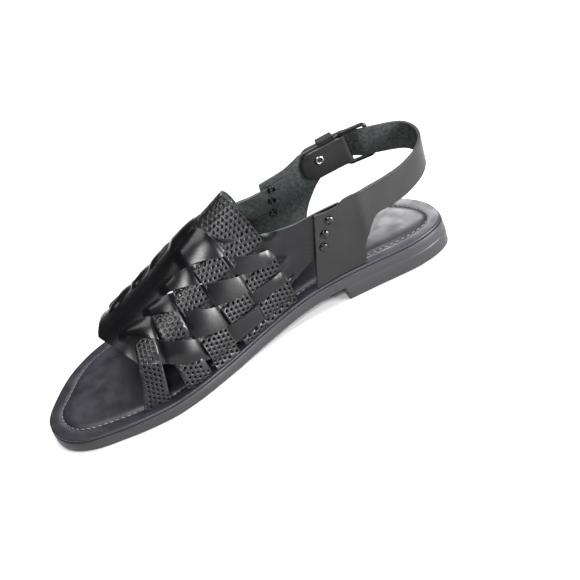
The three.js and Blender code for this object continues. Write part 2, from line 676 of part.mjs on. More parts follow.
// Prong: a ring round the bar and a straight tongue that rests on the far side of the buckle
const PRONG_RING = WIRE + GAP + PRONG;
const prongLine = [
  new THREE.Vector3(BAR.x, BAR.y - PRONG_RING, NECK_MIDDLE),
  new THREE.Vector3(farBar.x - 1.5, farBar.y - WIRE - GAP - PRONG - 0.1, NECK_MIDDLE),
];

function buckleProng() {
  const ring = new THREE.TorusGeometry(PRONG_RING, PRONG, 6, 12);
  ring.translate(BAR.x, BAR.y, NECK_MIDDLE);
  return geometryOf(solid(ring).add(rod(...prongLine, PRONG)));
}

function heelStrap() {
  const rows = [...INNER_PIECE, ...STRAP_RUN.map(withMiddle)];
  let body = wall(resampled(rows, 2), STRAP).subtract(rod(...prongLine, PRONG + GAP));
  rivetHoles(1).forEach((hole) => {
    body = body.subtract(hole);
  });
  return geometryOf(body);
}

const FOLD_RIVET = { x: 52.8, z: NECK_MIDDLE + 2.6 };

function buckleQuarter() {
  const fold = steps(-90, 90, 6).map((degrees) => {
    const turn = THREE.MathUtils.degToRad(degrees);
    const x = BAR.x - FOLD * Math.cos(turn);
    const y = BAR.y + FOLD * Math.sin(turn);
    return { lowX: x, lowY: y, lowZ: NECK_LOW, topX: x, topY: y, topZ: NECK_TOP };
  });
  const flap = FLAP_ROWS.map(({ x, low, top }) => (
    { lowX: x, lowY: FLAP_Y, lowZ: NECK_LOW + low, topX: x, topY: FLAP_Y, topZ: NECK_TOP - top }));
  const main = resampled([...OUTER_PIECE, ...NECK.map(withMiddle)], 2);
  const prongSlot = new THREE.BoxGeometry(4 * FOLD, 4 * FOLD, 2 * (PRONG + 1.5 * GAP));
  prongSlot.translate(BAR.x + 0.3, BAR.y, NECK_MIDDLE);
  const rivetLine = [new THREE.Vector3(FOLD_RIVET.x, FLAP_Y + STRAP, FOLD_RIVET.z),
    new THREE.Vector3(FOLD_RIVET.x, NECK_Y - STRAP, FOLD_RIVET.z)];
  let body = wall([...main, ...[...fold, ...flap].map(withMiddle)], STRAP).subtract(solid(prongSlot))
    .subtract(rod(...rivetLine, RIVET_SHANK + GAP));
  rivetHoles(-1).forEach((hole) => {
    body = body.subtract(hole);
  });
  return geometryOf(body);
}

// The ring rivet of the fold ends flush in the neck, where the strap lies over it
function foldRivet() {
  const face = FLAP_Y + STRAP / 2 + GAP;
  const end = NECK_Y - STRAP / 2 + 0.1;
  const profile = [
    [0, face - 0.4], [RIVET_SHANK * 0.8, face - 0.4], [RIVET_SHANK, face + RIVET_DOME * 0.7],
    [RIVET_HEAD * 0.8, face + RIVET_DOME * 0.7], [RIVET_HEAD, face], [RIVET_SHANK, face], [RIVET_SHANK, end], [0, end],
  ];
  const geometry = new THREE.LatheGeometry(profile.map(([r, h]) => new THREE.Vector2(r, h)), RIVET_SIDES);
  geometry.translate(FOLD_RIVET.x, 0, FOLD_RIVET.z);
  return geometryOf(solid(facingOut(mergeVertices(bareOf(geometry), 1e-4))));
}

// Buckle frame: round wire bent to a rectangle with small corners, standing on edge outside the heel
const CORNER = 2.3;
const CORNER_STEPS = 3;
const FRAME_ROOM = 0.3;
function buckleFrame() {
  const low = NECK_LOW - 0.5 - FRAME_ROOM - WIRE;
  const high = NECK_TOP + FRAME_ROOM + WIRE;
  const centre = { along: BUCKLE_LENGTH / 2, up: (low + high) / 2 };
  const half = { along: BUCKLE_LENGTH / 2 - CORNER, up: (high - low) / 2 - CORNER };
  const towards = new THREE.Vector3(farBar.x - BAR.x, farBar.y - BAR.y, 0).normalize();
  const upwards = new THREE.Vector3(0, 0, 1);
  const across = towards.clone().cross(upwards);
  const sections = [];
  [[1, 1], [-1, 1], [-1, -1], [1, -1]].forEach(([alongSign, upSign], quarter) => {
    steps(0, 90, CORNER_STEPS).forEach((degrees) => {
      const turn = THREE.MathUtils.degToRad(degrees + 90 * quarter);
      const outward = towards.clone().multiplyScalar(Math.cos(turn)).addScaledVector(upwards, Math.sin(turn));
      const point = new THREE.Vector3(BAR.x, BAR.y, 0)
        .addScaledVector(towards, centre.along + alongSign * half.along)
        .addScaledVector(upwards, centre.up + upSign * half.up)
        .addScaledVector(outward, CORNER);
      sections.push(steps(0, 360, 8).slice(0, 8).map((angle) => {
        const round = THREE.MathUtils.degToRad(angle);
        return point.clone().addScaledVector(outward, WIRE * Math.cos(round))
          .addScaledVector(across, WIRE * Math.sin(round));
      }));
    });
  });
  return ringLoft(sections);
}

function ringLoft(sections) {
  const count = sections[0].length;
  const positions = sections.flat().flatMap((point) => [point.x, point.y, point.z]);
  const index = [];
  sections.forEach((_, i) => {
    const next = (i + 1) % sections.length;
    for (let j = 0; j < count; j += 1) {
      const k = (j + 1) % count;
      index.push(i * count + j, i * count + k, next * count + k, i * count + j, next * count + k, next * count + j);
    }
  });
  const geometry = new THREE.BufferGeometry();
  geometry.setAttribute('position', new THREE.Float32BufferAttribute(positions, 3));
  geometry.setIndex(index);
  return facingOut(geometry);
}

// Keeper loop: a flat leather ring round the neck and the strap end
const KEEPER_PLACE = { from: 37.7, to: 49 };
function keeperLoop() {
  const inside = {
    near: FLAP_Y - STRAP / 2 - GAP - KEEPER,
    far: TAIL_Y - STRAP / 2 - 3 * GAP,
    low: NECK_LOW - 2 * GAP,
    high: NECK_TOP + 2 * GAP,
  };
  const box = (grow) => {
    const shape = new THREE.Shape();
    const [y0, y1] = [inside.far - grow, inside.near + grow];
    const [z0, z1] = [inside.low - grow, inside.high + grow];
    const corner = 0.3 + grow * 0.5;
    shape.moveTo(y0 + corner, z0);
    shape.lineTo(y1 - corner, z0).quadraticCurveTo(y1, z0, y1, z0 + corner);
    shape.lineTo(y1, z1 - corner).quadraticCurveTo(y1, z1, y1 - corner, z1);
    shape.lineTo(y0 + corner, z1).quadraticCurveTo(y0, z1, y0, z1 - corner);
    shape.lineTo(y0, z0 + corner).quadraticCurveTo(y0, z0, y0 + corner, z0);
    return shape;
  };
  const ring = box(KEEPER);
  ring.holes.push(box(0));
  const geometry = new THREE.ExtrudeGeometry(ring,
    { depth: KEEPER_PLACE.to - KEEPER_PLACE.from, bevelEnabled: false, curveSegments: 2 });
  geometry.rotateX(Math.PI / 2);
  geometry.rotateZ(Math.PI / 2);
  geometry.translate(KEEPER_PLACE.from, 0, 0);
  return geometry;
}

const finishes = {
  upperLeather: { color: 0x1d1d21, roughness: 0.42 },
  strapLeather: { color: 0x2c2d2f, roughness: 0.5 },
  insoleLeather: { color: 0x2e2f36, roughness: 0.38 },
  soleLeather: { color: 0x3a3a3d, roughness: 0.5 },
  metal: { color: 0x4a4a4c, roughness: 0.35, metalness: 1 },
};
const material = (name) => new THREE.MeshStandardMaterial({ name, metalness: 0, ...finishes[name] });

const group = new THREE.Group();
function place(name, geometry, finish) {
  const mesh = new THREE.Mesh(geometry, material(finish));
  mesh.name = name;
  group.add(mesh);
}

place('outsole', outsole(), 'soleLeather');
place('heel_block', heelBlock(), 'soleLeather');
place('insole', insole(), 'insoleLeather');
place('upper', upper(), 'upperLeather');
place('heel_strap', heelStrap(), 'strapLeather');
place('buckle_quarter', buckleQuarter(), 'strapLeather');
place('buckle_frame', buckleFrame(), 'metal');
place('buckle_prong', buckleProng(), 'metal');
place('keeper_loop', keeperLoop(), 'strapLeather');
place('fold_rivet', foldRivet(), 'metal');
[1, -1].forEach((side) => {
  const name = side > 0 ? 'inner' : 'outer';
  RIVETS[name].forEach((where, i) => {
    place(`rivet_${name}_${i + 1}`, rivet(where, side, RIVET_STACK), 'metal');
  });
});

// Origin at the middle of the bottom of the whole shoe's box
const bounds = new THREE.Box3().setFromObject(group);
group.position.set(-(bounds.min.x + bounds.max.x) / 2, -(bounds.min.y + bounds.max.y) / 2, -bounds.min.z);

export default group;
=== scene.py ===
import math

import bmesh
import bpy
import numpy as np
from mathutils import Matrix, Vector


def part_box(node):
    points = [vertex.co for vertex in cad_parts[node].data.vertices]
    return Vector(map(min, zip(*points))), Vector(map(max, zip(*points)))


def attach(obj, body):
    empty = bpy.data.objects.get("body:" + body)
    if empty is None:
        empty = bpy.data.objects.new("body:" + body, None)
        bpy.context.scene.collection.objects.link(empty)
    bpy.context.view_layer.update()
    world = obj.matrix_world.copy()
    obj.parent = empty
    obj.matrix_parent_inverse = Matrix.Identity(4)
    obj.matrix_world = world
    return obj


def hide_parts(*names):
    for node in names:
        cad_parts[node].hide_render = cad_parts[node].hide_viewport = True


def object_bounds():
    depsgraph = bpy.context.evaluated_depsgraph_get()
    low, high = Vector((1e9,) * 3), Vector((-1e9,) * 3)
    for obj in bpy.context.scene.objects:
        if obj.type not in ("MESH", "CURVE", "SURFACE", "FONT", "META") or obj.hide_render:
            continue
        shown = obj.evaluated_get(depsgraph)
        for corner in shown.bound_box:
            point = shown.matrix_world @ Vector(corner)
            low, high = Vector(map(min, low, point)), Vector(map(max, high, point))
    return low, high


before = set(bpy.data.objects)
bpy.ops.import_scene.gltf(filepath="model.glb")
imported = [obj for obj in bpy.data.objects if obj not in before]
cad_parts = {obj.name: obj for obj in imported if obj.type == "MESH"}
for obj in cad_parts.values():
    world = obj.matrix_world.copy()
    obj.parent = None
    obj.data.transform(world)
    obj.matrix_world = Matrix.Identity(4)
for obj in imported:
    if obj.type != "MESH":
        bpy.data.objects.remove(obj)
cad_low, cad_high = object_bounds()

# Outsole: a bottom cut from thick black sole leather, its edge sanded and burnished to a satin.
# It rises to the heel and lies flat under the forefoot, with a slight spring at the toe.
# Lengths here and below are millimetres from the back of the heel, with +Y to the inner side.
LENGTH = 289.0
BALL_WIDTH = 103.5
HEEL_RISE = 10.6
TOE_SPRING = 1.5
OUTSOLE = 7.6
HEEL_BREAST = 79.0
HEEL_END = 34.0
TOE_END = 50.0
END_POWER = 2.2
SPINE_HEEL = 0.107
SPINE_TOE = 0.083
OUTLINE = {
    "at": [0.0, 0.07, 0.125, 0.225, 0.35, 0.42, 0.505, 0.59, 0.66, 0.73, 0.8, 0.87, 0.93, 1.0],
    "inner": [0.195, 0.186, 0.183, 0.16, 0.138, 0.153, 0.202, 0.277, 0.34, 0.378, 0.371, 0.346, 0.355, 0.38],
    "outer": [0.32, 0.4, 0.43, 0.431, 0.451, 0.496, 0.559, 0.605, 0.623, 0.618, 0.58, 0.511, 0.43, 0.27],
}


def column(table, name, at):
    """A smooth curve through one column: each span is a cubic whose end slopes join the values next door."""
    knots = np.array(table["at"], float)
    values = np.array(table[name], float)
    before = np.clip(np.arange(len(knots)) - 1, 0, None)
    after = np.clip(np.arange(len(knots)) + 1, None, len(knots) - 1)
    slopes = (values[after] - values[before]) / (knots[after] - knots[before])
    at = np.asarray(at, float)
    i = np.clip(np.searchsorted(knots, at, side="right") - 1, 0, len(knots) - 2)
    span = knots[i + 1] - knots[i]
    t = np.clip((at - knots[i]) / span, 0, 1)
    t2, t3 = t * t, t * t * t
    return ((2 * t3 - 3 * t2 + 1) * values[i] + (t3 - 2 * t2 + t) * span * slopes[i]
            + (3 * t2 - 2 * t3) * values[i + 1] + (t3 - t2) * span * slopes[i + 1])


def ease(value, low, high):
    """A smooth step from 0 at low to 1 at high."""
    t = np.clip((np.asarray(value, float) - low) / (high - low), 0, 1)
    return t * t * (3 - 2 * t)


def sole_edge(x, side):
    """Distance of the sole's edge from the middle plane: a drawn half width, rounded off at heel and toe."""
    at = x / LENGTH
    spine = BALL_WIDTH * (SPINE_HEEL + (SPINE_TOE - SPINE_HEEL) * at)
    heel = np.clip(x / HEEL_END, 0, 1)
    toe = np.clip((LENGTH - x) / TOE_END, 0, 1)
    power = END_POWER
    rounding = (1 - (1 - heel) ** power) ** (1 / power) * (1 - (1 - toe) ** power) ** (1 / power)
    half = np.where(side > 0, column(OUTLINE, "inner", at), column(OUTLINE, "outer", at))
    return spine + side * BALL_WIDTH * half * rounding


def underside(x):
    """Height of the outsole's underside: high at the heel, flat under the forefoot, sprung at the toe."""
    at = np.asarray(x, float) / LENGTH
    return HEEL_RISE * (1 - ease(at, 0.22, 0.6)) + TOE_SPRING * ease(at, 0.86, 1.04)


# The outline's rearmost x and widest inner y tie these lengths to the outsole's box in the frame.
OUTLINE_REAR = 0.35
OUTLINE_INNER = 48.37
outsole_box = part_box("outsole")
shift = np.array([
    outsole_box[0].x * 1000 - OUTLINE_REAR,
    outsole_box[1].y * 1000 - OUTLINE_INNER,
    outsole_box[0].z * 1000,
])


def quads(rows, columns, closed_rows=False, closed_columns=False):
    """Four-cornered faces of a grid of rows by columns, joined end to end where asked."""
    i = np.arange(rows if closed_rows else rows - 1)
    j = np.arange(columns if closed_columns else columns - 1)
    i, j = np.meshgrid(i, j, indexing="ij")
    up, along = (i + 1) % rows, (j + 1) % columns
    corners = [i * columns + j, i * columns + along, up * columns + along, up * columns + j]
    return np.stack(corners, -1).reshape(-1, 4)


def set_out(name, data):
    """A new object in the scene."""
    made = bpy.data.objects.new(name, data)
    bpy.context.scene.collection.objects.link(made)
    return made


def piece(name, points, faces, slot, replaced=(), merge=0.0, recalculate=True):
    """A shown piece from points in millimetres: doubles merged, faces turned out, shaded smooth."""
    mesh = bpy.data.meshes.new(name)
    placed = (np.asarray(points, float).reshape(-1, 3) + shift) / 1000
    mesh.from_pydata(placed.tolist(), [], [list(face) for face in faces])
    shaper = bmesh.new()
    shaper.from_mesh(mesh)
    if merge:
        bmesh.ops.remove_doubles(shaper, verts=shaper.verts, dist=merge / 1000)
        bmesh.ops.dissolve_degenerate(shaper, edges=shaper.edges, dist=1e-6)
    if recalculate:
        bmesh.ops.recalc_face_normals(shaper, faces=shaper.faces)
    shaper.to_mesh(mesh)
    shaper.free()
    mesh.polygons.foreach_set("use_smooth", np.ones(len(mesh.polygons), bool))
    made = set_out(name, mesh)
    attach(made, "root")
    if replaced:
        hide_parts(*replaced)
    return made


WELD = 0.004


def grid_piece(name, grid, slot, replaced, closed_rows=False, closed_columns=False, **making):
    """A shown piece from a grid of points, its rows and columns joined into faces."""
    faces = quads(*grid.shape[:2], closed_rows, closed_columns)
    return piece(name, grid, faces, slot, replaced, **making)


class Finish:
    """A node material on object coordinates, built up from a base colour, roughness and small relief."""

    def __init__(self, name, color, roughness, metallic=0.0, specular=0.5):
        self.material = bpy.data.materials.new(name)
        self.material.use_nodes = True
        self.tree = self.material.node_tree
        self.shader = self.tree.nodes["Principled BSDF"]
        self.shader.inputs["Base Color"].default_value = (*color, 1)
        self.shader.inputs["Roughness"].default_value = roughness
        self.shader.inputs["Metallic"].default_value = metallic
        self.shader.inputs["Specular IOR Level"].default_value = specular
        self.place = self.tree.nodes.new("ShaderNodeTexCoord").outputs["Object"]
        self.relief = None

    def node(self, kind, settings, wired):
        """A new node of a kind, with some inputs set to values and others wired to outputs."""
        made = self.tree.nodes.new(kind)
        for name, value in settings.items():
            made.inputs[name].default_value = value
        for name, output in wired.items():
            self.tree.links.new(output, made.inputs[name])
        return made

    def stretched(self, scale):
        """Object coordinates multiplied by a scale along each axis."""
        return self.node("ShaderNodeMapping", {"Scale": scale}, {"Vector": self.place}).outputs["Vector"]

    def noise(self, size, detail=3.0, rough=0.5, place=None, distortion=0.0):
        """A soft noise whose patches are about size millimetres across."""
        settings = {"Scale": 1000 / size, "Detail": detail, "Roughness": rough, "Distortion": distortion}
        return self.node("ShaderNodeTexNoise", settings, {"Vector": place or self.place}).outputs["Fac"]

    def tones(self, value, dark, light, low=0.3, high=0.7):
        """Base colour: dark where a value is under low, light where it is over high, and blended between."""
        node = self.node("ShaderNodeValToRGB", {}, {"Fac": value})
        for element, at, color in zip(node.color_ramp.elements, (low, high), (dark, light)):
            element.position = at
            element.color = (*color, 1)
        self.tree.links.new(node.outputs["Color"], self.shader.inputs["Base Color"])

    def gloss(self, value, low, high):
        """Roughness: the middle of a noise, 0.3 to 0.7, stretched over low to high."""
        settings = {"From Min": 0.3, "From Max": 0.7, "To Min": low, "To Max": high}
        spread = self.node("ShaderNodeMapRange", settings, {"Value": value}).outputs["Result"]
        self.tree.links.new(spread, self.shader.inputs["Roughness"])

    def bump(self, value, height):
        """Adds relief of the given height in millimetres to the reliefs before it."""
        wired = {"Height": value} if self.relief is None else {"Height": value, "Normal": self.relief}
        settings = {"Strength": 1.0, "Distance": height / 1000}
        self.relief = self.node("ShaderNodeBump", settings, wired).outputs["Normal"]
        self.tree.links.new(self.relief, self.shader.inputs["Normal"])


def sole_leather(name, color):
    """Burnished edge leather: fine level streaks along the edge, soft patches and a satin sheen."""
    made = Finish(name, color, 0.42, specular=0.45)
    streaks = made.noise(1.0, 4, 0.6, made.stretched((0.03, 0.03, 1.0)))
    patches = made.noise(22, 3)
    made.tones(streaks, [c * 0.85 for c in color], [c * 1.18 for c in color])
    made.gloss(patches, 0.34, 0.52)
    made.bump(streaks, 0.025)
    made.bump(made.noise(0.6, 2), 0.012)
    return made.material


STATIONS = 150


def slab(inset, rings):
    """A sole layer: each ring runs round the outline, moved in by a distance and set at a height."""
    x = LENGTH * (1 - np.cos(np.pi * np.linspace(0, 1, STATIONS))) / 2
    x = np.clip(x, 0.02, LENGTH - 0.02)
    around_x = np.concatenate([x, x[::-1][1:-1]])
    side = np.concatenate([np.ones(STATIONS), -np.ones(STATIONS - 2)])
    edge = sole_edge(around_x, side)
    centre_x = np.clip(around_x, HEEL_END * 0.9, LENGTH - TOE_END * 0.8)
    centre_y = (sole_edge(centre_x, np.ones_like(side)) + sole_edge(centre_x, -np.ones_like(side))) / 2
    reach = np.hypot(around_x - centre_x, edge - centre_y)
    rows = []
    for distance, height in rings:
        if distance is None:
            share = np.ones_like(reach)
        else:
            away = distance(around_x) if callable(distance) else distance
            share = np.clip((away + inset) / reach, 0, 0.96)
        px = around_x + (centre_x - around_x) * share
        py = edge + (centre_y - edge) * share
        rows.append(np.stack([px, py, height(px)], -1))
    return np.array(rows)


def slab_piece(name, inset, rings, slot, replaced):
    """A sole layer made solid: its rings joined by faces, the first and last drawn to a middle line."""
    return grid_piece(name, slab(inset, rings), slot, replaced, closed_columns=True, merge=WELD)


def outsole_ring(distance, up):
    """A ring at a height above the underside."""
    return distance, lambda x: underside(x) + up


def lower_bevel(width):
    """Rounds the lower corner only ahead of the heel breast; over the heel the side runs straight down."""
    return lambda x: width * ease(x, HEEL_BREAST - 1, HEEL_BREAST + 3)


outsole = slab_piece("outsole_leather", 0.0, [
    outsole_ring(None, 0.0),
    outsole_ring(6.0, 0.0),
    outsole_ring(lower_bevel(0.9), 0.0),
    outsole_ring(lower_bevel(0.3), 0.2),
    outsole_ring(0.0, 0.8),
    outsole_ring(0.0, OUTSOLE / 2),
    outsole_ring(0.0, OUTSOLE - 0.8),
    outsole_ring(0.25, OUTSOLE - 0.25),
    outsole_ring(0.9, OUTSOLE),
    outsole_ring(3.0, OUTSOLE),
    outsole_ring(None, OUTSOLE),
], "sole_leather", ["outsole"])
burnished_edge = sole_leather("burnished_sole_edge", (0.034, 0.034, 0.037))
outsole.data.materials.append(burnished_edge)

# Heel block: a low stack of sole leather nailed under the seat of the outsole, with an upright breast.
# Its side leans in a little towards the floor and is burnished with the sole, so that no joint shows.
HEEL_INSET = 0.6
GAP = 0.3


def heel_grid():
    """The outline cut straight at the breast, carried up in levels of inset and height from floor or top."""
    x = HEEL_BREAST * (1 - np.cos(np.pi / 2 * np.linspace(0, 1, 70)))
    x = np.clip(x, 0.02, None)
    inner = np.stack([x, sole_edge(x, np.ones_like(x))], -1)
    outer = np.stack([x, sole_edge(x, -np.ones_like(x))], -1)[::-1]
    breast = inner[-1] + (outer[0] - inner[-1]) * np.linspace(0, 1, 26)[1:-1, None]
    ring = np.concatenate([inner, breast, outer[:-1]])
    middle = np.array([HEEL_BREAST * 0.55, ring[:, 1].mean()])
    away = ring - middle
    length = np.hypot(away[:, 0], away[:, 1])[:, None]
    top = underside(ring[:, 0])
    levels = [(None, 0.0, 0), (4.0, 0.0, 0), (0.7, 0.0, 0), (0.15, 0.5, 0), (0.0, 3.0, 0),
              (0.0, -1.5, 1), (0.0, 0.0, 1), (1.0, 0.02, 1), (None, 0.02, 1)]
    rows = []
    for inset, height, from_top in levels:
        share = 1.0 if inset is None else (inset + HEEL_INSET * (1 - from_top)) / length
        flat = ring - away * share
        z = top + height if from_top else np.full(len(ring), height)
        rows.append(np.column_stack([flat, z]))
    return np.array(rows)


heel = grid_piece("heel_stack", heel_grid(), "sole_leather", ["heel_block"], closed_columns=True, merge=WELD)
heel.data.materials.append(burnished_edge)

# Insole: smooth slate-coloured leather over a thin pad, flat at the rim and raised inside a line of stitches.
# The pad is worn to a soft gloss with faint creases.
INSOLE = 1.8
INSOLE_CROWN = 1.4
INSOLE_INSET = 0.4
STITCH_INSET = 8.4


def insole_top(x):
    """Height of the insole's rim."""
    return underside(x) + OUTSOLE + GAP + INSOLE


def insole_ring(distance, down):
    """A ring at a depth below the insole's rim."""
    return distance, lambda x: insole_top(x) - down


def from_stitches(further):
    """A distance from the rim counted on from the line of stitches, which lies further in round the toe."""
    return lambda x: STITCH_INSET + further + 1.4 * ease(x, 205, 275)


insole_rings = [
    insole_ring(None, INSOLE),
    insole_ring(5.0, INSOLE),
    insole_ring(0.7, INSOLE),
    insole_ring(0.2, INSOLE - 0.12),
    insole_ring(0.0, INSOLE - 0.45),
    insole_ring(0.0, 0.6),
    insole_ring(0.2, 0.2),
    insole_ring(0.6, 0.03),
    insole_ring(1.2, 0.0),
    insole_ring(5.0, 0.0),
    insole_ring(from_stitches(-0.7), 0.02),
    insole_ring(from_stitches(-0.3), 0.16),
    insole_ring(from_stitches(0), 0.22),
    insole_ring(from_stitches(0.3), 0.08),
    insole_ring(from_stitches(0.8), -0.32),
    insole_ring(from_stitches(1.6), -0.7),
    insole_ring(from_stitches(2.8), -1.05),
    insole_ring(from_stitches(4.6), -1.3),
    insole_ring(from_stitches(7.5), -INSOLE_CROWN),
    insole_ring(from_stitches(11), -INSOLE_CROWN),
    insole_ring(None, -INSOLE_CROWN),
]
insole = slab_piece("insole_pad", INSOLE_INSET, insole_rings, "insole_leather", ["insole"])
pad_leather = Finish("slate_insole_leather", (0.018, 0.0185, 0.023), 0.36, specular=0.5)
pad_patch = pad_leather.noise(26, 4, 0.55, distortion=0.4)
pad_leather.tones(pad_patch, (0.023, 0.023, 0.029), (0.043, 0.043, 0.055), high=0.72)
pad_leather.gloss(pad_leather.noise(9, 4), 0.27, 0.46)
pad_leather.bump(pad_leather.noise(20, 1, 0.4, pad_leather.stretched((1.0, 0.45, 1.0))), 0.55)
pad_leather.bump(pad_leather.noise(0.6, 2), 0.012)
insole.data.materials.append(pad_leather.material)


def rings_round(line, across, upward, radius, sides):
    """Rings round a line: every point moved out by a radius, from across to upward and so on round."""
    angle = np.linspace(0, 2 * np.pi, sides, endpoint=False)[:, None]
    circle = np.cos(angle) * across[..., None, :] + np.sin(angle) * upward[..., None, :]
    return line[..., None, :] + np.asarray(radius)[..., None, None] * circle


STITCH = 2.9
STITCH_PITCH = 1.38 * STITCH
THREAD_RADIUS = 0.4


def stitches(line, lift, sides=6):
    """Short rounded stitches set out along a closed line of points, each one dipping at its two ends."""
    step = np.diff(line, axis=0, append=line[:1])
    reach = np.concatenate([[0], np.cumsum(np.linalg.norm(step, axis=1))])
    total = reach[-1]
    count = int(total / STITCH_PITCH)
    closed = np.vstack([line, line[:1]])
    starts = np.arange(count) * total / count
    t = np.linspace(0, 1, 5)
    along = starts[:, None] + t * STITCH
    centre = np.stack([np.interp(along % total, reach, closed[:, k]) for k in range(3)], -1)
    swell = np.sin(np.pi * (0.08 + 0.84 * t))
    centre[..., 2] += lift + THREAD_RADIUS * (swell - 0.6)
    heading = np.gradient(centre, axis=1)
    heading /= np.linalg.norm(heading, axis=-1, keepdims=True)
    across = np.cross(heading, [0, 0, 1.0])
    across /= np.linalg.norm(across, axis=-1, keepdims=True)
    upward = np.cross(across, heading)
    points = rings_round(centre, across, upward, THREAD_RADIUS * (0.35 + 0.65 * swell), sides)
    one = quads(5, sides, closed_columns=True)
    first = np.arange(sides)[::-1]
    faces = []
    for base in (np.arange(count) * 5 * sides).tolist():
        faces.extend((one + base).tolist())
        faces.append((first + base).tolist())
        faces.append((first[::-1] + base + 4 * sides).tolist())
    return points, faces


stitch_line = slab(INSOLE_INSET, [insole_ring(from_stitches(0), 0.2)])[0]
stitch_points, stitch_faces = stitches(stitch_line, 0.3)
stitching = piece("insole_stitching", stitch_points, stitch_faces, "insole_leather")
thread = Finish("waxed_thread", (0.17, 0.172, 0.185), 0.45)
thread.tones(thread.noise(1.2, 2), (0.12, 0.122, 0.132), (0.22, 0.225, 0.24))
thread.bump(thread.noise(0.35, 2), 0.03)
stitching.data.materials.append(thread.material)

# Strips: five perforated leather strips a side, cut from one hide, that stand in the seam of the insole.
# They pass over and under the slit vamp in turn, and the rear one runs over the ridge from side to side.
INSTEP = 86.0
OUTER_FLARE = 8.0
INNER_FLARE = 2.0
LAST = {
    "at": [0.1, 0.27, 0.33, 0.398, 0.484, 0.57, 0.657, 0.744, 0.83],
    "ridge": [1.03, 1.03, 1.02, 1.0, 0.914, 0.817, 0.672, 0.555, 0.462],
    "side": [-0.058, -0.058, -0.056, -0.05, -0.028, -0.005, 0.02, 0.037, 0.048],
    "power": [3.3, 3.2, 2.5, 1.85, 1.8, 1.84, 1.92, 2.02, 2.1],
    "flare": [1, 1, 0.8, 0.25, 0, 0, 0, 0, 0],
    "inset": [0.045, 0.045, 0.042, 0.034, 0.022, 0.022, 0.03, 0.055, 0.06],
}
SHARES = 241
LAST_STEPS = 290
last_x = np.linspace(0.0, LENGTH, LAST_STEPS)


def last_tables(side):
    """Cross-sections of the foot form: half an oval from the sole's edge to the ridge, even by arc."""
    at = last_x / LENGTH
    base = insole_top(last_x)
    rise = INSTEP * column(LAST, "ridge", at)
    ridge = BALL_WIDTH * column(LAST, "side", at)
    inset = BALL_WIDTH * column(LAST, "inset", at)
    half = np.abs(sole_edge(last_x, np.full_like(last_x, side)) - ridge) - inset
    power = column(LAST, "power", at)
    flare = column(LAST, "flare", at) * (INNER_FLARE if side > 0 else OUTER_FLARE)
    turn = np.linspace(0, np.pi / 2, 161)[None]
    up = np.sin(turn) ** (2 / power[:, None])
    out = np.clip(np.cos(turn), 0, None) ** (2 / power[:, None])
    y = ridge[:, None] + side * (half[:, None] * out + flare[:, None] * up * (1 - up ** 4))
    z = base[:, None] + rise[:, None] * up
    arc = np.concatenate([np.zeros((len(last_x), 1)),
                          np.cumsum(np.hypot(np.diff(y, axis=1), np.diff(z, axis=1)), axis=1)], axis=1)
    total = arc[:, -1]
    share = np.linspace(0, 1, SHARES)
    even_y = np.array([np.interp(share * t, a, b) for t, a, b in zip(total, arc, y)])
    even_z = np.array([np.interp(share * t, a, b) for t, a, b in zip(total, arc, z)])
    return even_y, even_z, total


LAST_TABLES = {1: last_tables(1), -1: last_tables(-1)}
TUCK_RATE = 90.0


def half_length(x, side):
    """Arc from the sole's edge to the ridge."""
    return np.interp(x, last_x, LAST_TABLES[side][2])


def looked_up(table, x, share):
    """A value between four neighbours of a table by place along and share of the arc."""
    i = np.clip(x, 0, LENGTH - 1e-6) / (last_x[1] - last_x[0])
    j = np.clip(share, 0, 1) * (SHARES - 1)
    i0 = np.clip(i.astype(int), 0, len(last_x) - 2)
    j0 = np.clip(j.astype(int), 0, SHARES - 2)
    u, v = i - i0, j - j0
    return ((table[i0, j0] * (1 - u) + table[i0 + 1, j0] * u) * (1 - v)
            + (table[i0, j0 + 1] * (1 - u) + table[i0 + 1, j0 + 1] * u) * v)


def on_last(x, share, side):
    """Point of the foot form at a share of the arc: 0 at the sole, 1 at the ridge, then down the other side.

    A share below 0 goes straight down into the seam, by TUCK_RATE millimetres for a share of 1.
    """
    over = share > 1
    here = np.where(over, 2 - share, share)
    y = np.where(over, looked_up(LAST_TABLES[-side][0], x, here), looked_up(LAST_TABLES[side][0], x, here))
    z = np.where(over, looked_up(LAST_TABLES[-side][1], x, here), looked_up(LAST_TABLES[side][1], x, here))
    below = np.minimum(share, 0) * TUCK_RATE
    return np.stack([x, y, z + below], -1)


def off_last(x, share, side, out):
    """The same point moved out along the form's own normal."""
    x, share, out = np.broadcast_arrays(*(np.asarray(value, float) for value in (x, share, out)))
    along = on_last(x + 1.5, share, side) - on_last(x - 1.5, share, side)
    across = on_last(x, share + 0.03, side) - on_last(x, np.clip(share - 0.03, 0, None), side)
    normal = -side * np.cross(along, across)
    normal /= np.linalg.norm(normal, axis=-1, keepdims=True)
    return on_last(x, share, side) + normal * out[..., None]


WEAVE = {
    "at": [0.2, 0.31, 0.356, 0.374, 0.43, 0.474, 0.552, 0.621, 0.69, 0.745, 0.8],
    "top": [0.47, 0.492, 0.533, 0.557, 0.655, 0.78, 1.02, 1.02, 1.02, 1.02, 1.02],
    "slit1": [0.415, 0.43, 0.433, 0.44, 0.53, 0.64, 0.79, 0.865, 0.9, 0.93, 0.94],
    "slit2": [0.36, 0.36, 0.35, 0.35, 0.408, 0.48, 0.63, 0.765, 0.84, 0.88, 0.89],
    "slit3": [0.305, 0.305, 0.272, 0.268, 0.295, 0.335, 0.438, 0.6, 0.76, 0.83, 0.84],
    "slit4": [0.25, 0.25, 0.21, 0.182, 0.196, 0.21, 0.25, 0.352, 0.53, 0.73, 0.75],
    "foot": [0.205, 0.2, 0.16, 0.145, 0.05, 0.065, 0.085, 0.139, 0.297, 0.43, 0.47],
}
LINES = ["top", "slit1", "slit2", "slit3", "slit4", "foot"]
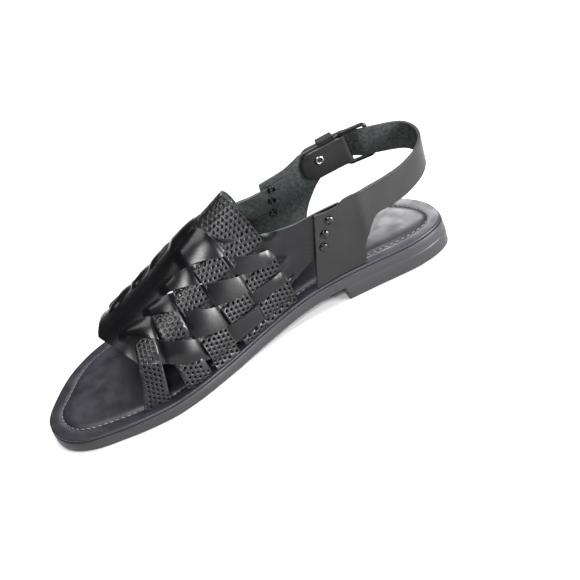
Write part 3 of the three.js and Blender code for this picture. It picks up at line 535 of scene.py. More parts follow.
THROAT = 0.527
LEATHER = 1.6
WEAVE_LIFT = 0.86
WEAVE_SHARPNESS = 6.0


def weave_lines(x):
    """The shares of the vamp's throat edge, four slits and lowest edge at each place along."""
    at = np.asarray(x, float) / LENGTH
    lines = np.stack([column(WEAVE, name, at) for name in LINES])
    pinch = ease(at, 0.474, THROAT)
    lines[0] = np.where(at < THROAT, lines[0] * (1 - pinch) + 0.995 * pinch, 1.0)
    return np.minimum(lines, 1.0)


def finger_line(count, x):
    """Share at a finger count, where 0.5 is the throat edge, 1.5 the first slit and 5.5 the lowest edge."""
    lines = weave_lines(x)
    place = np.broadcast_to(np.clip(np.asarray(count, float) - 0.5, 0, 5), lines.shape[1:])
    i = np.clip(place.astype(int), 0, 4)
    upper = np.take_along_axis(lines, i[None], 0)[0]
    lower = np.take_along_axis(lines, i[None] + 1, 0)[0]
    return upper + (lower - upper) * (place - i)


def finger_count(x, share):
    """The finger count at a place of the foot form, running on below the lowest finger."""
    lines = weave_lines(x)
    count = 5.5 + 0.5 * (lines[5] - share) / np.maximum(lines[5], 0.05)
    for i in range(4, -1, -1):
        gap = np.maximum(lines[i] - lines[i + 1], 1e-6)
        inside = share >= lines[i + 1]
        count = np.where(inside, i + 0.5 + np.clip((lines[i] - share) / gap, 0, 1), count)
    return count


def woven(phase):
    """Over and under: a cosine pushed flat at its crests, so that a strip lies level, then steps quickly."""
    return np.tanh(WEAVE_SHARPNESS * np.cos(np.pi * phase)) / math.tanh(WEAVE_SHARPNESS)


STRIP_CROWN = 0.45
RIDGE_SAG = 0.9
STRIPS = {
    "foot": [0.422, 0.495, 0.578, 0.657, 0.763],
    "lean": [0.049, 0.041, 0.021, 0.0, -0.069],
    "bend": [2.2, 1.0, 1.0, 1.0, 1.0],
    "width": [24.5, 19.0, 18.0, 18.0, 18.5],
    "top_width": [24.0, 19.0, 18.0, 17.0, 11.0],
    "columns": [8, 6, 6, 6, 6],
}
STRIP_PITCH = 22.0
STRIP_LEATHER = 1.5
STRIP_TUCK = 3.45
HOLE_PITCH = 3.45
HOLE_COLUMN = 2.99
HOLE_RADIUS = 1.02
HOLE_ROLL = 0.3
HOLE_SINK = 0.22
HOLE_SIDES = 12
HOLE_MARGIN = 0.45
SEAM = 0.02


def strip_middle(i, share):
    """Place along of strip i's middle line: its foot, and its lean times a power of the share."""
    return LENGTH * (STRIPS["foot"][i] + STRIPS["lean"][i] * np.clip(share, 0, 1) ** STRIPS["bend"][i])


def strip_lift(i, share):
    """Height of strip i over the form: it swaps side at each slit, and is flat at foot and ridge."""
    folded = np.where(share > 1, 2 - share, share)
    count = finger_count(strip_middle(i, folded), folded)
    crown = STRIP_CROWN * np.clip(np.cos(np.pi * (count - (i + 1))), 0, None)
    lift = WEAVE_LIFT * woven(count - (i + 1)) + crown
    over_ridge = 1 - ease(count, 0.42, 0.62)
    return (lift * (1 - over_ridge) - RIDGE_SAG * over_ridge) * ease(folded, 0.0, 0.05)


def strip_cells(length, width, columns):
    """A lattice of six-cornered cells in columns along a strip: only those inside its edges carry a hole."""
    row, col = np.meshgrid(np.arange(int(np.ceil((length + STRIP_TUCK) / HOLE_PITCH)) + 1),
                           np.arange(columns + 2), indexing="ij")
    u = -STRIP_TUCK + (row + 0.5 * (col % 2)) * HOLE_PITCH
    v = (col - (columns + 1) / 2) * HOLE_COLUMN
    limit = np.interp(u, np.linspace(0, length, len(width)), width) / 2
    keep = np.abs(v) - HOLE_COLUMN / 2 < limit
    u, v, limit = u[keep], v[keep], limit[keep]
    holed = (np.abs(v) + HOLE_RADIUS + HOLE_MARGIN < limit) & (u > 0.4) & (u < length - 1.5)
    h, w = HOLE_PITCH / 2, HOLE_COLUMN / 2
    corners = np.array([[-h, -w], [0, -w], [h, -w], [h, w], [0, w], [-h, w]])
    turn = np.linspace(0, 2 * np.pi, HOLE_SIDES, endpoint=False) + np.pi / HOLE_SIDES
    return np.stack([u, v], -1), holed, corners, np.stack([np.cos(turn), np.sin(turn)], -1)


def ring_faces(corners, circle):
    """Faces of one cell: triangles from its outline to the rolled rim, then a band down into the hole."""
    corner_turn = np.arctan2(corners[:, 1], corners[:, 0])
    circle_turn = np.arctan2(circle[:, 1], circle[:, 0])
    away = np.abs((circle_turn[:, None] - corner_turn[None] + np.pi) % (2 * np.pi) - np.pi)
    nearest = away.argmin(axis=1)
    count = len(corners)
    triangles = []
    for s in range(HOLE_SIDES):
        t = (s + 1) % HOLE_SIDES
        rim, next_rim = count + s, count + t
        triangles.append([nearest[s], next_rim, rim])
        if nearest[s] != nearest[t]:
            triangles.append([nearest[s], nearest[t], next_rim])
        triangles.append([rim, next_rim, next_rim + HOLE_SIDES])
        triangles.append([rim, next_rim + HOLE_SIDES, rim + HOLE_SIDES])
    return np.array(triangles)


def perforated_strip(i, side, to_share):
    """One strip as a single skin: the lattice is bent onto the foot form by distance along and across."""
    samples = np.linspace(0, to_share, 400)
    line = on_last(strip_middle(i, samples), samples, side)
    run = np.concatenate([[0], np.cumsum(np.linalg.norm(np.diff(line, axis=0), axis=1))])
    length = run[-1]
    along = np.linspace(0, length, 60)
    narrowing = STRIPS["top_width"][i] - STRIPS["width"][i]
    width = STRIPS["width"][i] + narrowing * np.interp(along, run, samples)
    centres, holed, corners, circle = strip_cells(length, width, STRIPS["columns"][i])
    radii = HOLE_RADIUS + np.array([HOLE_ROLL, 0.0])
    rings = np.concatenate([circle * radius for radius in radii])
    with_hole = centres[holed][:, None] + np.vstack([corners, rings])[None]
    plain = centres[~holed][:, None] + np.vstack([corners, [[0, 0]]])[None]
    size = len(corners) + len(rings)
    plain_faces = np.array([[(k + 1) % 6, k, 6] for k in range(6)])
    flat = np.vstack([with_hole.reshape(-1, 2), plain.reshape(-1, 2)])
    sink = np.zeros((len(with_hole), size))
    sink[:, size - HOLE_SIDES:] = -HOLE_SINK
    sink = np.concatenate([sink.ravel(), np.zeros(len(plain) * 7)])
    holed_start = (np.arange(len(with_hole)) * size)[:, None, None]
    plain_start = (np.arange(len(plain)) * 7 + len(with_hole) * size)[:, None, None]
    faces = np.vstack([
        (ring_faces(corners, circle)[None] + holed_start).reshape(-1, 3),
        (plain_faces[None] + plain_start).reshape(-1, 3),
    ])
    limit = np.interp(flat[:, 0], along, width) / 2
    u = np.clip(flat[:, 0], -STRIP_TUCK, length)
    v = np.clip(flat[:, 1], -limit, limit)
    first, second, third = (np.stack([u, v], -1)[faces[:, k]] for k in range(3))
    area = np.cross(second - first, third - first)
    faces = faces[np.abs(area) > 1e-5]
    lean = np.interp(u, run, np.gradient(strip_middle(i, samples), run))
    tilted = u - v * lean * ease(u, 0, 12) * (1 - ease(u, length - 8, length))
    share = np.where(tilted < 0, tilted / TUCK_RATE, np.interp(tilted, run, samples))
    lift = strip_lift(i, share) + sink
    return off_last(strip_middle(i, share) + v, share, side, lift), faces


def smooth_leather(name, color, roughness, grain=0.02, specular=0.5):
    """Polished black leather: fine grain, its depth in millimetres, and a soft change of level and gloss."""
    made = Finish(name, color, roughness, specular=specular)
    patch = made.noise(18, 3, 0.5)
    made.tones(patch, [c * 0.8 for c in color], [c * 1.3 for c in color])
    made.gloss(made.noise(14, 3), roughness - 0.03, roughness + 0.05)
    made.bump(made.noise(16, 1), 0.12)
    made.bump(made.noise(0.5, 3), grain)
    return made.material


def cut_edge(name, color=(0.075, 0.075, 0.08)):
    """The raw cut edge of the leather, dyed but paler and duller than the face, with fine fibres; the default
    colour is lightened further, a painted highlight of light catching the bevelled edge.
    """
    made = Finish(name, color, 0.6)
    fibre = made.noise(0.5, 4, 0.65)
    made.tones(fibre, [c * 0.55 for c in color], [c * 1.5 for c in color], high=0.75)
    made.bump(fibre, 0.08)
    return made.material


def flesh_side(name):
    """The suede flesh side: matt, mottled dark grey with a green cast and a short nap."""
    made = Finish(name, (0.07, 0.075, 0.072), 0.88, specular=0.25)
    mottle = made.noise(2.2, 6, 0.7)
    made.tones(mottle, (0.026, 0.029, 0.0287), (0.072, 0.079, 0.078), low=0.32, high=0.68)
    made.bump(made.noise(0.7, 5, 0.7), 0.12)
    return made.material


strip_face = smooth_leather("perforated_leather", (0.01, 0.01, 0.0115), 0.36, grain=0.005)
# The vamp and strip edges take the lighter default colour: partly the raw edge's own paler tone, partly a
# painted highlight of light catching the bevel.
edge_with_painted_highlight = cut_edge("cut_leather_edge_painted_highlight")
leather_flesh = flesh_side("suede_flesh_side")


def leather_wall(made, thickness, bevel, materials):
    """Gives a skin its thickness, half each way, with finishes for the face, the flesh side and the edge."""
    for material in materials:
        made.data.materials.append(material)
    wall = made.modifiers.new("wall", "SOLIDIFY")
    wall.thickness = thickness / 1000
    wall.offset = 0.0
    wall.material_offset = 1
    wall.material_offset_rim = 2
    if bevel:
        rounding = made.modifiers.new("rounding", "BEVEL")
        rounding.width = bevel / 1000
        rounding.segments = 2
        rounding.angle_limit = math.radians(50)
        rounding.harden_normals = True


def faces_out(made):
    """Turns a skin's faces so that they look away from a point inside the foot."""
    centre = Vector((np.array([LENGTH * 0.55, 0.0, 30.0]) + shift) / 1000)
    total = sum((face.center - centre).dot(face.normal) * face.area for face in made.data.polygons)
    if total < 0:
        made.data.flip_normals()


def strip_piece(name, points, faces):
    """A strip's skin made into leather."""
    strip = piece(name, points, faces, "upper_leather", ["upper"], merge=SEAM)
    faces_out(strip)
    leather_wall(strip, STRIP_LEATHER, 0, [strip_face, leather_flesh, edge_with_painted_highlight])


inner_half, inner_faces = perforated_strip(0, 1, 1.0)
outer_half, outer_faces = perforated_strip(0, -1, 1.0)
strip_piece("strip_rear", np.vstack([inner_half, outer_half]),
            np.vstack([inner_faces, outer_faces[:, ::-1] + len(inner_half)]))
for i in range(1, 5):
    end_share = float(finger_line(i + 0.15, strip_middle(i, np.array([0.7])))[0])
    for side, side_name in ((1, "inner"), (-1, "outer")):
        strip_piece(f"strip_{side_name}_{i + 1}", *perforated_strip(i, side, end_share))

# Vamp: one piece of smooth black leather from the front edge back to the rivets, slit into fingers.
# The strips are woven through the slits, and the cut edges show as thin paler lines: partly the edges' own
# paler colour, partly a painted highlight.
SLIT_ENDS = [0.633, 0.671, 0.702, 0.752]
SLIT_START = 0.381
SLIT_HALF = 0.35
BAND_INNER = 0.212
BAND_OUTER = 0.27
BAND_LEAN = 0.22
ANKLE = 69.5
VAMP_RIDGE = 0.807
VAMP_LOW = 0.752
VAMP_LOW_SHARE = 0.43
VAMP_ROWS = 190
FINGER_COLUMNS = 11
FINGER_CROWN = 1.0


def vamp_lift(x, count, share):
    """Height of the vamp over the form: each finger swaps side at each strip, and is flat elsewhere."""
    middles = np.stack([strip_middle(i, share) for i in range(5)])
    strip = 1 - (middles[0] - x) / STRIP_PITCH
    for i in range(4):
        inside = x > middles[i]
        strip = np.where(inside, i + 1 + (x - middles[i]) / (middles[i + 1] - middles[i]), strip)
    strip = np.where(x > middles[4], 5 + (x - middles[4]) / STRIP_PITCH, strip)
    last_strip = np.minimum(count + 1, 5)
    past_last = ease(strip, last_strip + 0.42, last_strip + 0.8)
    woven_share = ease(x, 0.35 * LENGTH, 0.385 * LENGTH) * (1 - past_last)
    held = np.minimum(strip, last_strip)
    parity = np.cos(np.pi * count)
    crown = FINGER_CROWN * np.clip(-np.cos(np.pi * held) * parity, 0, None)
    return woven_share * (crown - WEAVE_LIFT * woven(held) * parity)


def vamp_finger(finger, side):
    """One finger and the leather before and behind it: a grid by place along and by count across."""
    count = finger + np.linspace(-0.5, 0.5, FINGER_COLUMNS)[None]
    t = np.linspace(0, 1, VAMP_ROWS)[:, None]
    x = np.broadcast_to(LENGTH * 0.3, (1, FINGER_COLUMNS))
    for _ in range(8):
        share = finger_line(count, x)
        z = on_last(x, share, side)[..., 2]
        x = LENGTH * (BAND_INNER if side > 0 else BAND_OUTER) + BAND_LEAN * (ANKLE - z)
    rear = x
    x = np.broadcast_to(LENGTH * 0.77, (1, FINGER_COLUMNS))
    for _ in range(12):
        share = finger_line(count, x)
        way = np.clip((1 - share) / (1 - VAMP_LOW_SHARE), 0, 1)
        x = LENGTH * (VAMP_RIDGE + (VAMP_LOW - VAMP_RIDGE) * way ** 1.2)
    front = x
    x = rear + (front - rear) * t
    share = finger_line(np.broadcast_to(count, x.shape), x)
    length = half_length(x, side)
    place = np.linspace(-1, 1, FINGER_COLUMNS)[None]

    def opening(number):
        """Half the slit's width: it opens over 10 mm and closes over 14 mm."""
        if number < 1 or number > 4:
            return np.zeros_like(x)
        begin, end = LENGTH * SLIT_START, LENGTH * SLIT_ENDS[number - 1]
        return SLIT_HALF * np.clip(np.minimum((x - begin) / 10, (end - x) / 14), 0, 1) / length

    upper_gap = opening(finger - 1)
    lower_gap = opening(finger)
    share = share - upper_gap * (1 - place) / 2 + lower_gap * (1 + place) / 2
    own_gap = upper_gap * (place < 0) + lower_gap * (place > 0)
    near_end = 1 - np.clip(own_gap * length / SLIT_HALF, 0, 1)
    lift = vamp_lift(x, np.full_like(x, finger), share) * (1 - place ** 2 * near_end)
    return off_last(x, share, side, lift)


vamp_points, vamp_faces, vamp_start = [], [], 0
for side in (1, -1):
    for finger in range(1, 6):
        grid = vamp_finger(finger, side)
        vamp_points.append(grid.reshape(-1, 3))
        own = quads(VAMP_ROWS, FINGER_COLUMNS)
        vamp_faces.append((own if side > 0 else own[:, ::-1]) + vamp_start)
        vamp_start += grid.shape[0] * grid.shape[1]
vamp = piece("slit_vamp", np.vstack(vamp_points), np.vstack(vamp_faces), "upper_leather", ["upper"],
             merge=SEAM)
faces_out(vamp)
vamp_leather = smooth_leather("smooth_vamp_leather", (0.006, 0.006, 0.007), 0.27, grain=0.01, specular=0.42)
leather_wall(vamp, LEATHER, 0.3, [vamp_leather, leather_flesh, edge_with_painted_highlight])

# Heel strap: one piece of strap leather that stands on the inner side and is riveted over the band.
# It narrows to a strap round the back of the heel and ends in a pointed tongue under the keeper.
STRAP = 2.0
STRAP_WIDTH = 20.4
BAND_GAP = 0.6
FOOT_GAP = 0.4
BAR = (34.0, -34.5)
BUCKLE_LENGTH = 17.5
BUCKLE_TURN = 2.8
FAR_BAR = (BAR[0] - BUCKLE_LENGTH, BAR[1] + BUCKLE_TURN)
TAIL_Y = BAR[1] - 4.8
NECK_LOW = 57.0
NECK_TOP = NECK_LOW + STRAP_WIDTH
NECK_MIDDLE = (NECK_LOW + NECK_TOP) / 2


def side_wall(x, z, side):
    """Distance of the foot form's side from the middle plane at a height."""
    table_y, table_z, _ = LAST_TABLES[side]
    i = int(round(float(x) / (last_x[1] - last_x[0])))
    return float(np.interp(z, table_z[i], table_y[i]))


def over_band(x, z, side):
    """The middle of a heel piece that lies outside the band: half of each leather and the gap further out."""
    return side_wall(x, z, side) + side * (LEATHER / 2 + BAND_GAP + STRAP / 2)


def foot_of(x):
    """The lowest height of a heel piece, just clear of the insole."""
    return float(insole_top(x)) + FOOT_GAP


def heel_row(side, low_x, low_z, top_x, top_z):
    """One upright section of a heel piece that lies outside the band: low edge, bulge and top edge."""
    low_y = over_band(low_x, low_z, side)
    middle = over_band((low_x + top_x) / 2, (low_z + top_z) / 2, side)
    top_y = over_band(top_x, top_z, side)
    return [low_x, low_y, low_z, middle, top_x, top_y, top_z]


def free_row(low_x, low_y, low_z, top_x, top_y, top_z):
    """A straight section away from the band, between its low and its top edge."""
    return [low_x, low_y, low_z, (low_y + top_y) / 2, top_x, top_y, top_z]


def strap_row(x, y, low_z):
    """An upright section of the strap at its full width."""
    return free_row(x, y, low_z, x, y, low_z + STRAP_WIDTH)


def upright(rows, per_row, levels):
    """A strap on edge: its rows join in smooth curves, each an arc through low edge, bulge and top edge."""
    table = {"at": np.arange(len(rows)), **{str(k): [row[k] for row in rows] for k in range(7)}}
    at = np.linspace(0, len(rows) - 1, (len(rows) - 1) * per_row + 1)
    low_x, low_y, low_z, mid_y, top_x, top_y, top_z = (column(table, str(k), at)[:, None] for k in range(7))
    low_z = np.maximum(low_z, insole_top(low_x) + FOOT_GAP)
    s = np.linspace(0, 1, levels)[None]
    x = low_x + (top_x - low_x) * s
    z = low_z + (top_z - low_z) * s
    y = low_y * (1 - s) * (1 - 2 * s) + mid_y * 4 * s * (1 - s) + top_y * s * (2 * s - 1)
    return np.stack([x, y, z], -1)


strap_rows = [
    heel_row(1, 95, foot_of(95), 79, ANKLE),
    heel_row(1, 83, foot_of(83), 72, ANKLE - 0.5),
    heel_row(1, 71, foot_of(71), 64.5, ANKLE - 0.3),
    heel_row(1, 60, foot_of(60), 58, ANKLE + 2.1),
    heel_row(1, 56.8, 31, 53.5, ANKLE + 2.5),
    heel_row(1, 51.5, 40.5, 48, ANKLE + 2.5),
    free_row(42, 23.2, 48.8, 41, 23.8, 71),
    free_row(29, 19.6, 47.3, 28, 19.8, 68.9),
    free_row(15, 14.6, 46.8, 13.5, 14.1, 67.2),
    free_row(2, 7, 47.6, 0, 6.8, 67.7),
    free_row(-5.5, -1.5, 50, -8, -2, 70.2),
    free_row(-6.5, -11, 52.6, -8.7, -12, 72.8),
    free_row(-1, -20.5, 54.8, -2.6, -21.2, 74.9),
    strap_row(FAR_BAR[0] - 1.5, FAR_BAR[1] + 3.6, 56.8),
    strap_row(FAR_BAR[0] + 6, FAR_BAR[1] - 0.1, 56.9),
    strap_row(BAR[0] - 5, BAR[1] - 3.8, NECK_LOW),
    strap_row(BAR[0] + 1, TAIL_Y - 0.5, NECK_LOW),
    strap_row(46, TAIL_Y, NECK_LOW),
    strap_row(58, TAIL_Y, NECK_LOW),
    free_row(64, TAIL_Y, NECK_LOW + 4, 64, TAIL_Y, NECK_TOP - 4),
]
heel_strap = grid_piece("heel_strap_leather", upright(strap_rows, 9, 15), "strap_leather", ["heel_strap"],
                        recalculate=False)
strap_face = smooth_leather("strap_leather_face", (0.0095, 0.01, 0.0097), 0.34, grain=0.02)
strap_edge = cut_edge("strap_cut_edge", (0.03, 0.03, 0.031))
if heel_strap.data.polygons[0].normal.y < 0:
    heel_strap.data.flip_normals()
leather_wall(heel_strap, STRAP, 0.35, [strap_face, leather_flesh, strap_edge])

# Buckle quarter: the outer heel piece, riveted over the band like the inner one.
# Its narrow neck is folded back on itself round the buckle's bar and held by a ring rivet.
FOLD = 2.7
NECK_Y = -36.5
FLAP_Y = -32.4
quarter_rows = [
    heel_row(-1, 105, foot_of(105), 95.5, 73),
    heel_row(-1, 97, foot_of(97), 89, 73),
    heel_row(-1, 88, foot_of(88), 82, 73.2),
    heel_row(-1, 79, foot_of(79), 76, 74),
    heel_row(-1, 75.8, 31, 71.5, 75.5),
    heel_row(-1, 71.5, 40, 67.5, 77),
    free_row(64, -35.9, 47.8, 63, -36, 77.6),
    free_row(57, NECK_Y, 53.4, 57, NECK_Y, NECK_TOP),
    strap_row(50, NECK_Y, NECK_LOW),
    strap_row(39, NECK_Y, NECK_LOW),
]
fold_turn = np.radians(np.linspace(-90, 90, 17))
fold_rows = [strap_row(BAR[0] - FOLD * np.cos(a), BAR[1] + FOLD * np.sin(a), NECK_LOW) for a in fold_turn]
flap_rows = [strap_row(x, FLAP_Y, NECK_LOW) for x in (38, 42, 47, 52, 57)]
flap_rows += [free_row(x, FLAP_Y, NECK_LOW + low, x, FLAP_Y, NECK_TOP - top)
              for x, low, top in ((59.5, 0, 0), (61.4, 1.6, 1.9), (63.4, 3.4, 4.0), (65.2, 5.2, 6.2))]
quarter_grid = np.concatenate([upright(quarter_rows, 9, 15), upright(fold_rows + flap_rows, 1, 15)])
buckle_quarter = grid_piece("buckle_quarter_leather", quarter_grid, "strap_leather", ["buckle_quarter"],
                            recalculate=False)
if buckle_quarter.data.polygons[0].normal.y > 0:
    buckle_quarter.data.flip_normals()
leather_wall(buckle_quarter, STRAP, 0.35, [strap_face, leather_flesh, strap_edge])

# Rivets: dark tubular rivets, three a side, set square through heel piece and band.
# Outside they show a low domed head, and inside a rolled ring with a small hole.
RIVET_SHANK = 1.3
RIVET_HEAD = 3.0
RIVET_STACK = LEATHER + BAND_GAP + STRAP
RIVET_PLACES = {
    1: [(71, 62.5), (77, 54.5), (80.5, 46)],
    -1: [(89.5, 67), (92, 59), (94.5, 50.4)],
}


def turned(profile, base, axis, sides=28):
    """A turned part: a profile of radius and height carried round an axis."""
    axis = np.array(axis, float) / np.linalg.norm(axis)
    across = np.cross(axis, [0.3, 0.2, 1.0])
    across /= np.linalg.norm(across)
    profile = np.array(profile, float)
    line = np.array(base, float) + profile[:, 1, None] * axis
    return rings_round(line, across, np.cross(axis, across), profile[:, 0], sides)


def rivet_line(x, z, side):
    """The rivet's start on the band's inner face, and its direction square to the leather."""
    along = (side_wall(x + 1.5, z, side) - side_wall(x - 1.5, z, side)) / 3
    upward = (side_wall(x, z + 1.5, side) - side_wall(x, z - 1.5, side)) / 3
    axis = side * np.array([-along, 1, -upward])
    axis /= np.linalg.norm(axis)
    return np.array([x, side_wall(x, z, side), z]) - axis * LEATHER / 2, axis


dome_angle = np.radians(np.linspace(0, 90, 8))
outside_dome = [(RIVET_HEAD * math.cos(a), RIVET_STACK + 0.35 + 1.15 * math.sin(a)) for a in dome_angle]
roll_angle = np.radians(np.linspace(180, 0, 9))
inside_roll = [(2.05 + 0.75 * math.cos(a), -0.35 - 0.75 * math.sin(a)) for a in roll_angle]
rivet_profile = [(0.001, 0.6), (1.15, 0.6), (1.25, -0.2)] + inside_roll
rivet_profile += [(2.8, 0.0), (RIVET_SHANK, 0.0), (RIVET_SHANK, RIVET_STACK), (RIVET_HEAD, RIVET_STACK)]
rivet_profile += outside_dome
rivet_metal = Finish("dark_rivet_metal", (0.05, 0.05, 0.053), 0.28, metallic=0.9)
rivet_tone = rivet_metal.noise(2.5, 4)
rivet_metal.tones(rivet_tone, (0.025, 0.025, 0.027), (0.09, 0.09, 0.095), low=0.35)
rivet_metal.gloss(rivet_metal.noise(1.2, 3), 0.2, 0.36)
rivet_metal.bump(rivet_metal.noise(0.8, 3), 0.02)
for side, side_name in ((1, "inner"), (-1, "outer")):
    for number, (x, z) in enumerate(RIVET_PLACES[side], 1):
        name = f"rivet_{side_name}_{number}"
        grid = turned(rivet_profile, *rivet_line(x, z, side))
        rivet = grid_piece(name + "_turned", grid, "dark_metal", [name], closed_columns=True, merge=WELD)
        rivet.data.materials.append(rivet_metal.material)

# Fold rivet: a bright ring rivet with a dark hole that holds the folded neck together.
# Its far end is flush, because the strap's tongue lies over it.
FOLD_RIVET = (52.8, NECK_MIDDLE + 2.6)
fold_face = FLAP_Y + STRAP / 2
fold_end = -(fold_face - NECK_Y + STRAP / 2 - 0.1)
fold_angle = np.radians(np.linspace(180, 0, 11))
fold_roll = [(2.25 + 1.05 * math.cos(a), 0.25 + 0.85 * math.sin(a)) for a in fold_angle]
fold_profile = [(0.001, -1.2), (1.1, -1.2), (1.2, 0.0)] + fold_roll
fold_profile += [(3.3, 0.0), (RIVET_SHANK, 0.0), (RIVET_SHANK, fold_end), (0.001, fold_end)]
fold_grid = turned(fold_profile, (FOLD_RIVET[0], fold_face, FOLD_RIVET[1]), (0, 1, 0))
fold_rivet = grid_piece("fold_rivet_ring", fold_grid, "dark_metal", ["fold_rivet"], closed_columns=True,
                        merge=WELD)
ring_metal = Finish("bright_ring_metal", (0.3, 0.3, 0.31), 0.28, metallic=1.0)
ring_metal.tones(ring_metal.noise(1.5, 3), (0.2, 0.2, 0.21), (0.42, 0.42, 0.43), low=0.35)
ring_metal.bump(ring_metal.noise(0.7, 3), 0.02)
fold_rivet.data.materials.append(ring_metal.material)

# Buckle: a plain frame of slightly flattened wire with rounded corners, and a prong on its front bar.
# The metal has a black coating with a soft sheen.
WIRE = 1.1
WIRE_HEIGHT = 1.45
WIRE_OUT = 0.15
CORNER = 2.3
FRAME_ROOM = 0.3


def wire_ring():
    """A closed wire: a round section carried round a rectangle whose corners are quarter circles."""
    low = NECK_LOW - 0.5 - FRAME_ROOM - WIRE
    high = NECK_TOP + FRAME_ROOM + WIRE
    centre = np.array([BUCKLE_LENGTH / 2, (low + high) / 2])
    half = np.array([BUCKLE_LENGTH / 2 - CORNER, (high - low) / 2 - CORNER])
    towards = np.array([FAR_BAR[0] - BAR[0], FAR_BAR[1] - BAR[1], 0.0])
    towards /= np.linalg.norm(towards)
    upward = np.array([0, 0, 1.0])
    across = np.cross(towards, upward)
    corners = np.array([[1, 1], [-1, 1], [-1, -1], [1, -1]])
    turn = (np.radians(np.linspace(0, 90, 9))[None] + np.radians(90 * np.arange(4))[:, None]).ravel()
    which = np.repeat(corners, 9, axis=0)
    outward = np.cos(turn)[:, None] * towards + np.sin(turn)[:, None] * upward
    point = (np.array([BAR[0], BAR[1], 0.0]) + (centre[0] + which[:, :1] * half[0]) * towards
             + (centre[1] + which[:, 1:] * half[1]) * upward + outward * CORNER)
    return rings_round(point + WIRE_OUT * outward, WIRE_HEIGHT * outward, WIRE * across, 1.0, 16)


buckle_frame = grid_piece("buckle_frame_wire", wire_ring(), "dark_metal", ["buckle_frame"],
                          closed_rows=True, closed_columns=True, merge=WELD)
buckle_metal = Finish("black_coated_metal", (0.015, 0.015, 0.016), 0.3, metallic=0.5)
coating = buckle_metal.noise(3, 4)
buckle_metal.tones(coating, (0.009, 0.009, 0.01), (0.025, 0.025, 0.027), low=0.35)
buckle_metal.gloss(buckle_metal.noise(1.5, 3), 0.24, 0.4)
buckle_metal.bump(buckle_metal.noise(0.9, 3), 0.02)
buckle_frame.data.materials.append(buckle_metal.material)

PRONG = 0.9
PRONG_RING = WIRE + GAP + PRONG
PRONG_SIDES = 12


def prong_grid():
    """The prong: its wire runs once round the bar and then straight to the far side of the frame."""
    around = np.radians(np.linspace(60, 350, 30))
    loop = np.stack([BAR[0] - PRONG_RING * np.sin(around), BAR[1] - PRONG_RING * np.cos(around),
                     np.full(30, NECK_MIDDLE)], -1)
    start = np.array([BAR[0], BAR[1] - PRONG_RING, NECK_MIDDLE])
    end = np.array([FAR_BAR[0] - 1.5, FAR_BAR[1] - WIRE - GAP - PRONG - 0.1, NECK_MIDDLE])
    straight = start + (end - start) * np.linspace(0.04, 1, 14)[:, None]
    line = np.vstack([loop[::-1], straight])
    heading = np.gradient(line, axis=0)
    heading /= np.linalg.norm(heading, axis=1, keepdims=True)
    upward = np.array([0, 0, 1.0])
    across = np.cross(heading, upward)
    radius = PRONG * np.minimum(1, np.linspace(6.5, 0.35, len(line)))
    return rings_round(line, across, upward, radius, PRONG_SIDES)


prong_rows = prong_grid()
prong_faces = quads(*prong_rows.shape[:2], closed_columns=True).tolist()
prong_faces.append(list(range(PRONG_SIDES))[::-1])
prong_faces.append([(prong_rows.shape[0] - 1) * PRONG_SIDES + k for k in range(PRONG_SIDES)])
buckle_prong = piece("buckle_prong_wire", prong_rows, prong_faces, "dark_metal", ["buckle_prong"])
buckle_prong.data.materials.append(buckle_metal.material)

# Keeper loop: a flat band of matt strap leather closed into a ring round the neck and the strap's tongue.
# The joint of its two ends is hidden, so the ring is shown whole.
KEEPER = 1.5
KEEPER_FROM = 37.7
KEEPER_TO = 49.0
KEEPER_CORNER = 1.1


def keeper_grid():
    """The loop's middle surface: a rectangle with round corners carried across the strap's direction."""
    near = FLAP_Y - STRAP / 2 - GAP - KEEPER / 2
    far = TAIL_Y - STRAP / 2 - 3 * GAP - KEEPER / 2
    low = NECK_LOW - 2 * GAP - KEEPER / 2
    high = NECK_TOP + 2 * GAP + KEEPER / 2
    corner = KEEPER_CORNER
    turn = np.radians(np.linspace(0, 90, 6))[None] + np.radians(90 * np.arange(4))[:, None]
    centres = np.array([[near - corner, high - corner], [far + corner, high - corner],
                        [far + corner, low + corner], [near - corner, low + corner]])
    y = (centres[:, :1] + corner * np.cos(turn)).ravel()
    z = (centres[:, 1:] + corner * np.sin(turn)).ravel()
    x = np.linspace(KEEPER_FROM, KEEPER_TO, 7)
    return np.stack(np.broadcast_arrays(x[None, :], y[:, None], z[:, None]), -1)


keeper = grid_piece("keeper_loop_leather", keeper_grid(), "strap_leather", ["keeper_loop"], closed_rows=True)
keeper_face = smooth_leather("keeper_leather", (0.006, 0.006, 0.0065), 0.5, grain=0.02, specular=0.15)
leather_wall(keeper, KEEPER, 0.3, [keeper_face, leather_flesh, strap_edge])

# Studio: a plain pale floor and soft white light from above, from the outer side and from the inner side.
# The shoe stands on the floor. The camera looks down on its inner side nearly square on, rolled to one side.
FLOOR_REACH = 4.0
FLOOR_BELOW = 0.0002
floor_mesh = bpy.data.meshes.new("floor")
floor_corners = [(x * FLOOR_REACH, y * FLOOR_REACH, 0) for x, y in ((-1, -1), (1, -1), (1, 1), (-1, 1))]
floor_mesh.from_pydata(floor_corners, [], [(0, 1, 2, 3)])
floor = set_out("floor", floor_mesh)
floor.location.z = cad_low.z - FLOOR_BELOW
paper = Finish("white_paper", (0.9, 0.9, 0.9), 0.9, specular=0.1)
paper.tones(paper.noise(300, 2), (0.89, 0.89, 0.89), (0.92, 0.92, 0.92))
floor_mesh.materials.append(paper.material)

world = bpy.data.worlds.new("studio")
bpy.context.scene.world = world
world.use_nodes = True
world.node_tree.nodes["Background"].inputs["Color"].default_value = (1, 1, 1, 1)
world.node_tree.nodes["Background"].inputs["Strength"].default_value = 0.08
bpy.context.scene.view_settings.view_transform = "Standard"
bpy.context.scene.view_settings.look = "Medium High Contrast"


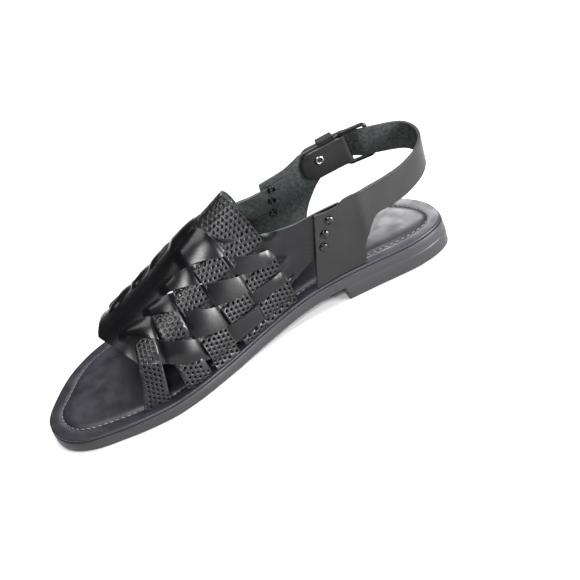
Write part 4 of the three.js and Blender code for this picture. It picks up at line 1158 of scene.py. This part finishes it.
def soft_box(name, place, target, width, height, watts):
    """A rectangular lamp at a place, facing a target, both in metres."""
    lamp = bpy.data.lights.new(name, "AREA")
    lamp.shape = "RECTANGLE"
    lamp.size = width
    lamp.size_y = height
    lamp.energy = watts
    holder = set_out(name, lamp)
    holder.location = place
    holder.rotation_mode = "QUATERNION"
    holder.rotation_quaternion = (Vector(target) - Vector(place)).to_track_quat("-Z", "Y")


soft_box("top_light", (0.05, -0.05, 1.2), (0, 0, 0.03), 0.9, 0.9, 11)
soft_box("back_light", (-0.32, -0.85, 0.62), (-0.05, 0, 0.02), 0.5, 0.5, 6.5)
soft_box("low_light", (-0.74, 0.74, 0.16), (0, 0, 0.04), 0.44, 0.38, 21)
soft_box("high_light", (0.13, 0.95, 0.92), (0, 0, 0.04), 0.36, 0.36, 9)

CAMERA_TURN = math.radians(176.23)
CAMERA_HEIGHT = math.radians(34.97)
CAMERA_ROLL = math.radians(-25.73)
CAMERA_DISTANCE = 969.58
CAMERA_AIM = (145.8, 0.0, 30.0)
PICTURE = 580
LENS_IN_PIXELS = 1492.74
SHIFT_IN_PIXELS = (59.68, 4.81)
SENSOR = 36.0
out = math.cos(CAMERA_HEIGHT)
back = np.array([math.sin(CAMERA_TURN) * out, -math.cos(CAMERA_TURN) * out, math.sin(CAMERA_HEIGHT)])
level = np.array([math.cos(CAMERA_TURN), math.sin(CAMERA_TURN), 0.0])
rise = np.cross(back, level)
camera_right = math.cos(CAMERA_ROLL) * level + math.sin(CAMERA_ROLL) * rise
camera_up = -math.sin(CAMERA_ROLL) * level + math.cos(CAMERA_ROLL) * rise
camera_place = (np.array(CAMERA_AIM) + back * CAMERA_DISTANCE + shift) / 1000
camera_data = bpy.data.cameras.new("camera")
camera_data.sensor_width = SENSOR
camera_data.lens = SENSOR * LENS_IN_PIXELS / PICTURE
camera_data.shift_x = SHIFT_IN_PIXELS[0] / PICTURE
camera_data.shift_y = SHIFT_IN_PIXELS[1] / PICTURE
camera = set_out("camera", camera_data)
camera_axes = np.stack([camera_right, camera_up, back, camera_place], -1)
camera.matrix_world = Matrix([*camera_axes.tolist(), [0, 0, 0, 1]])
bpy.context.scene.camera = camera
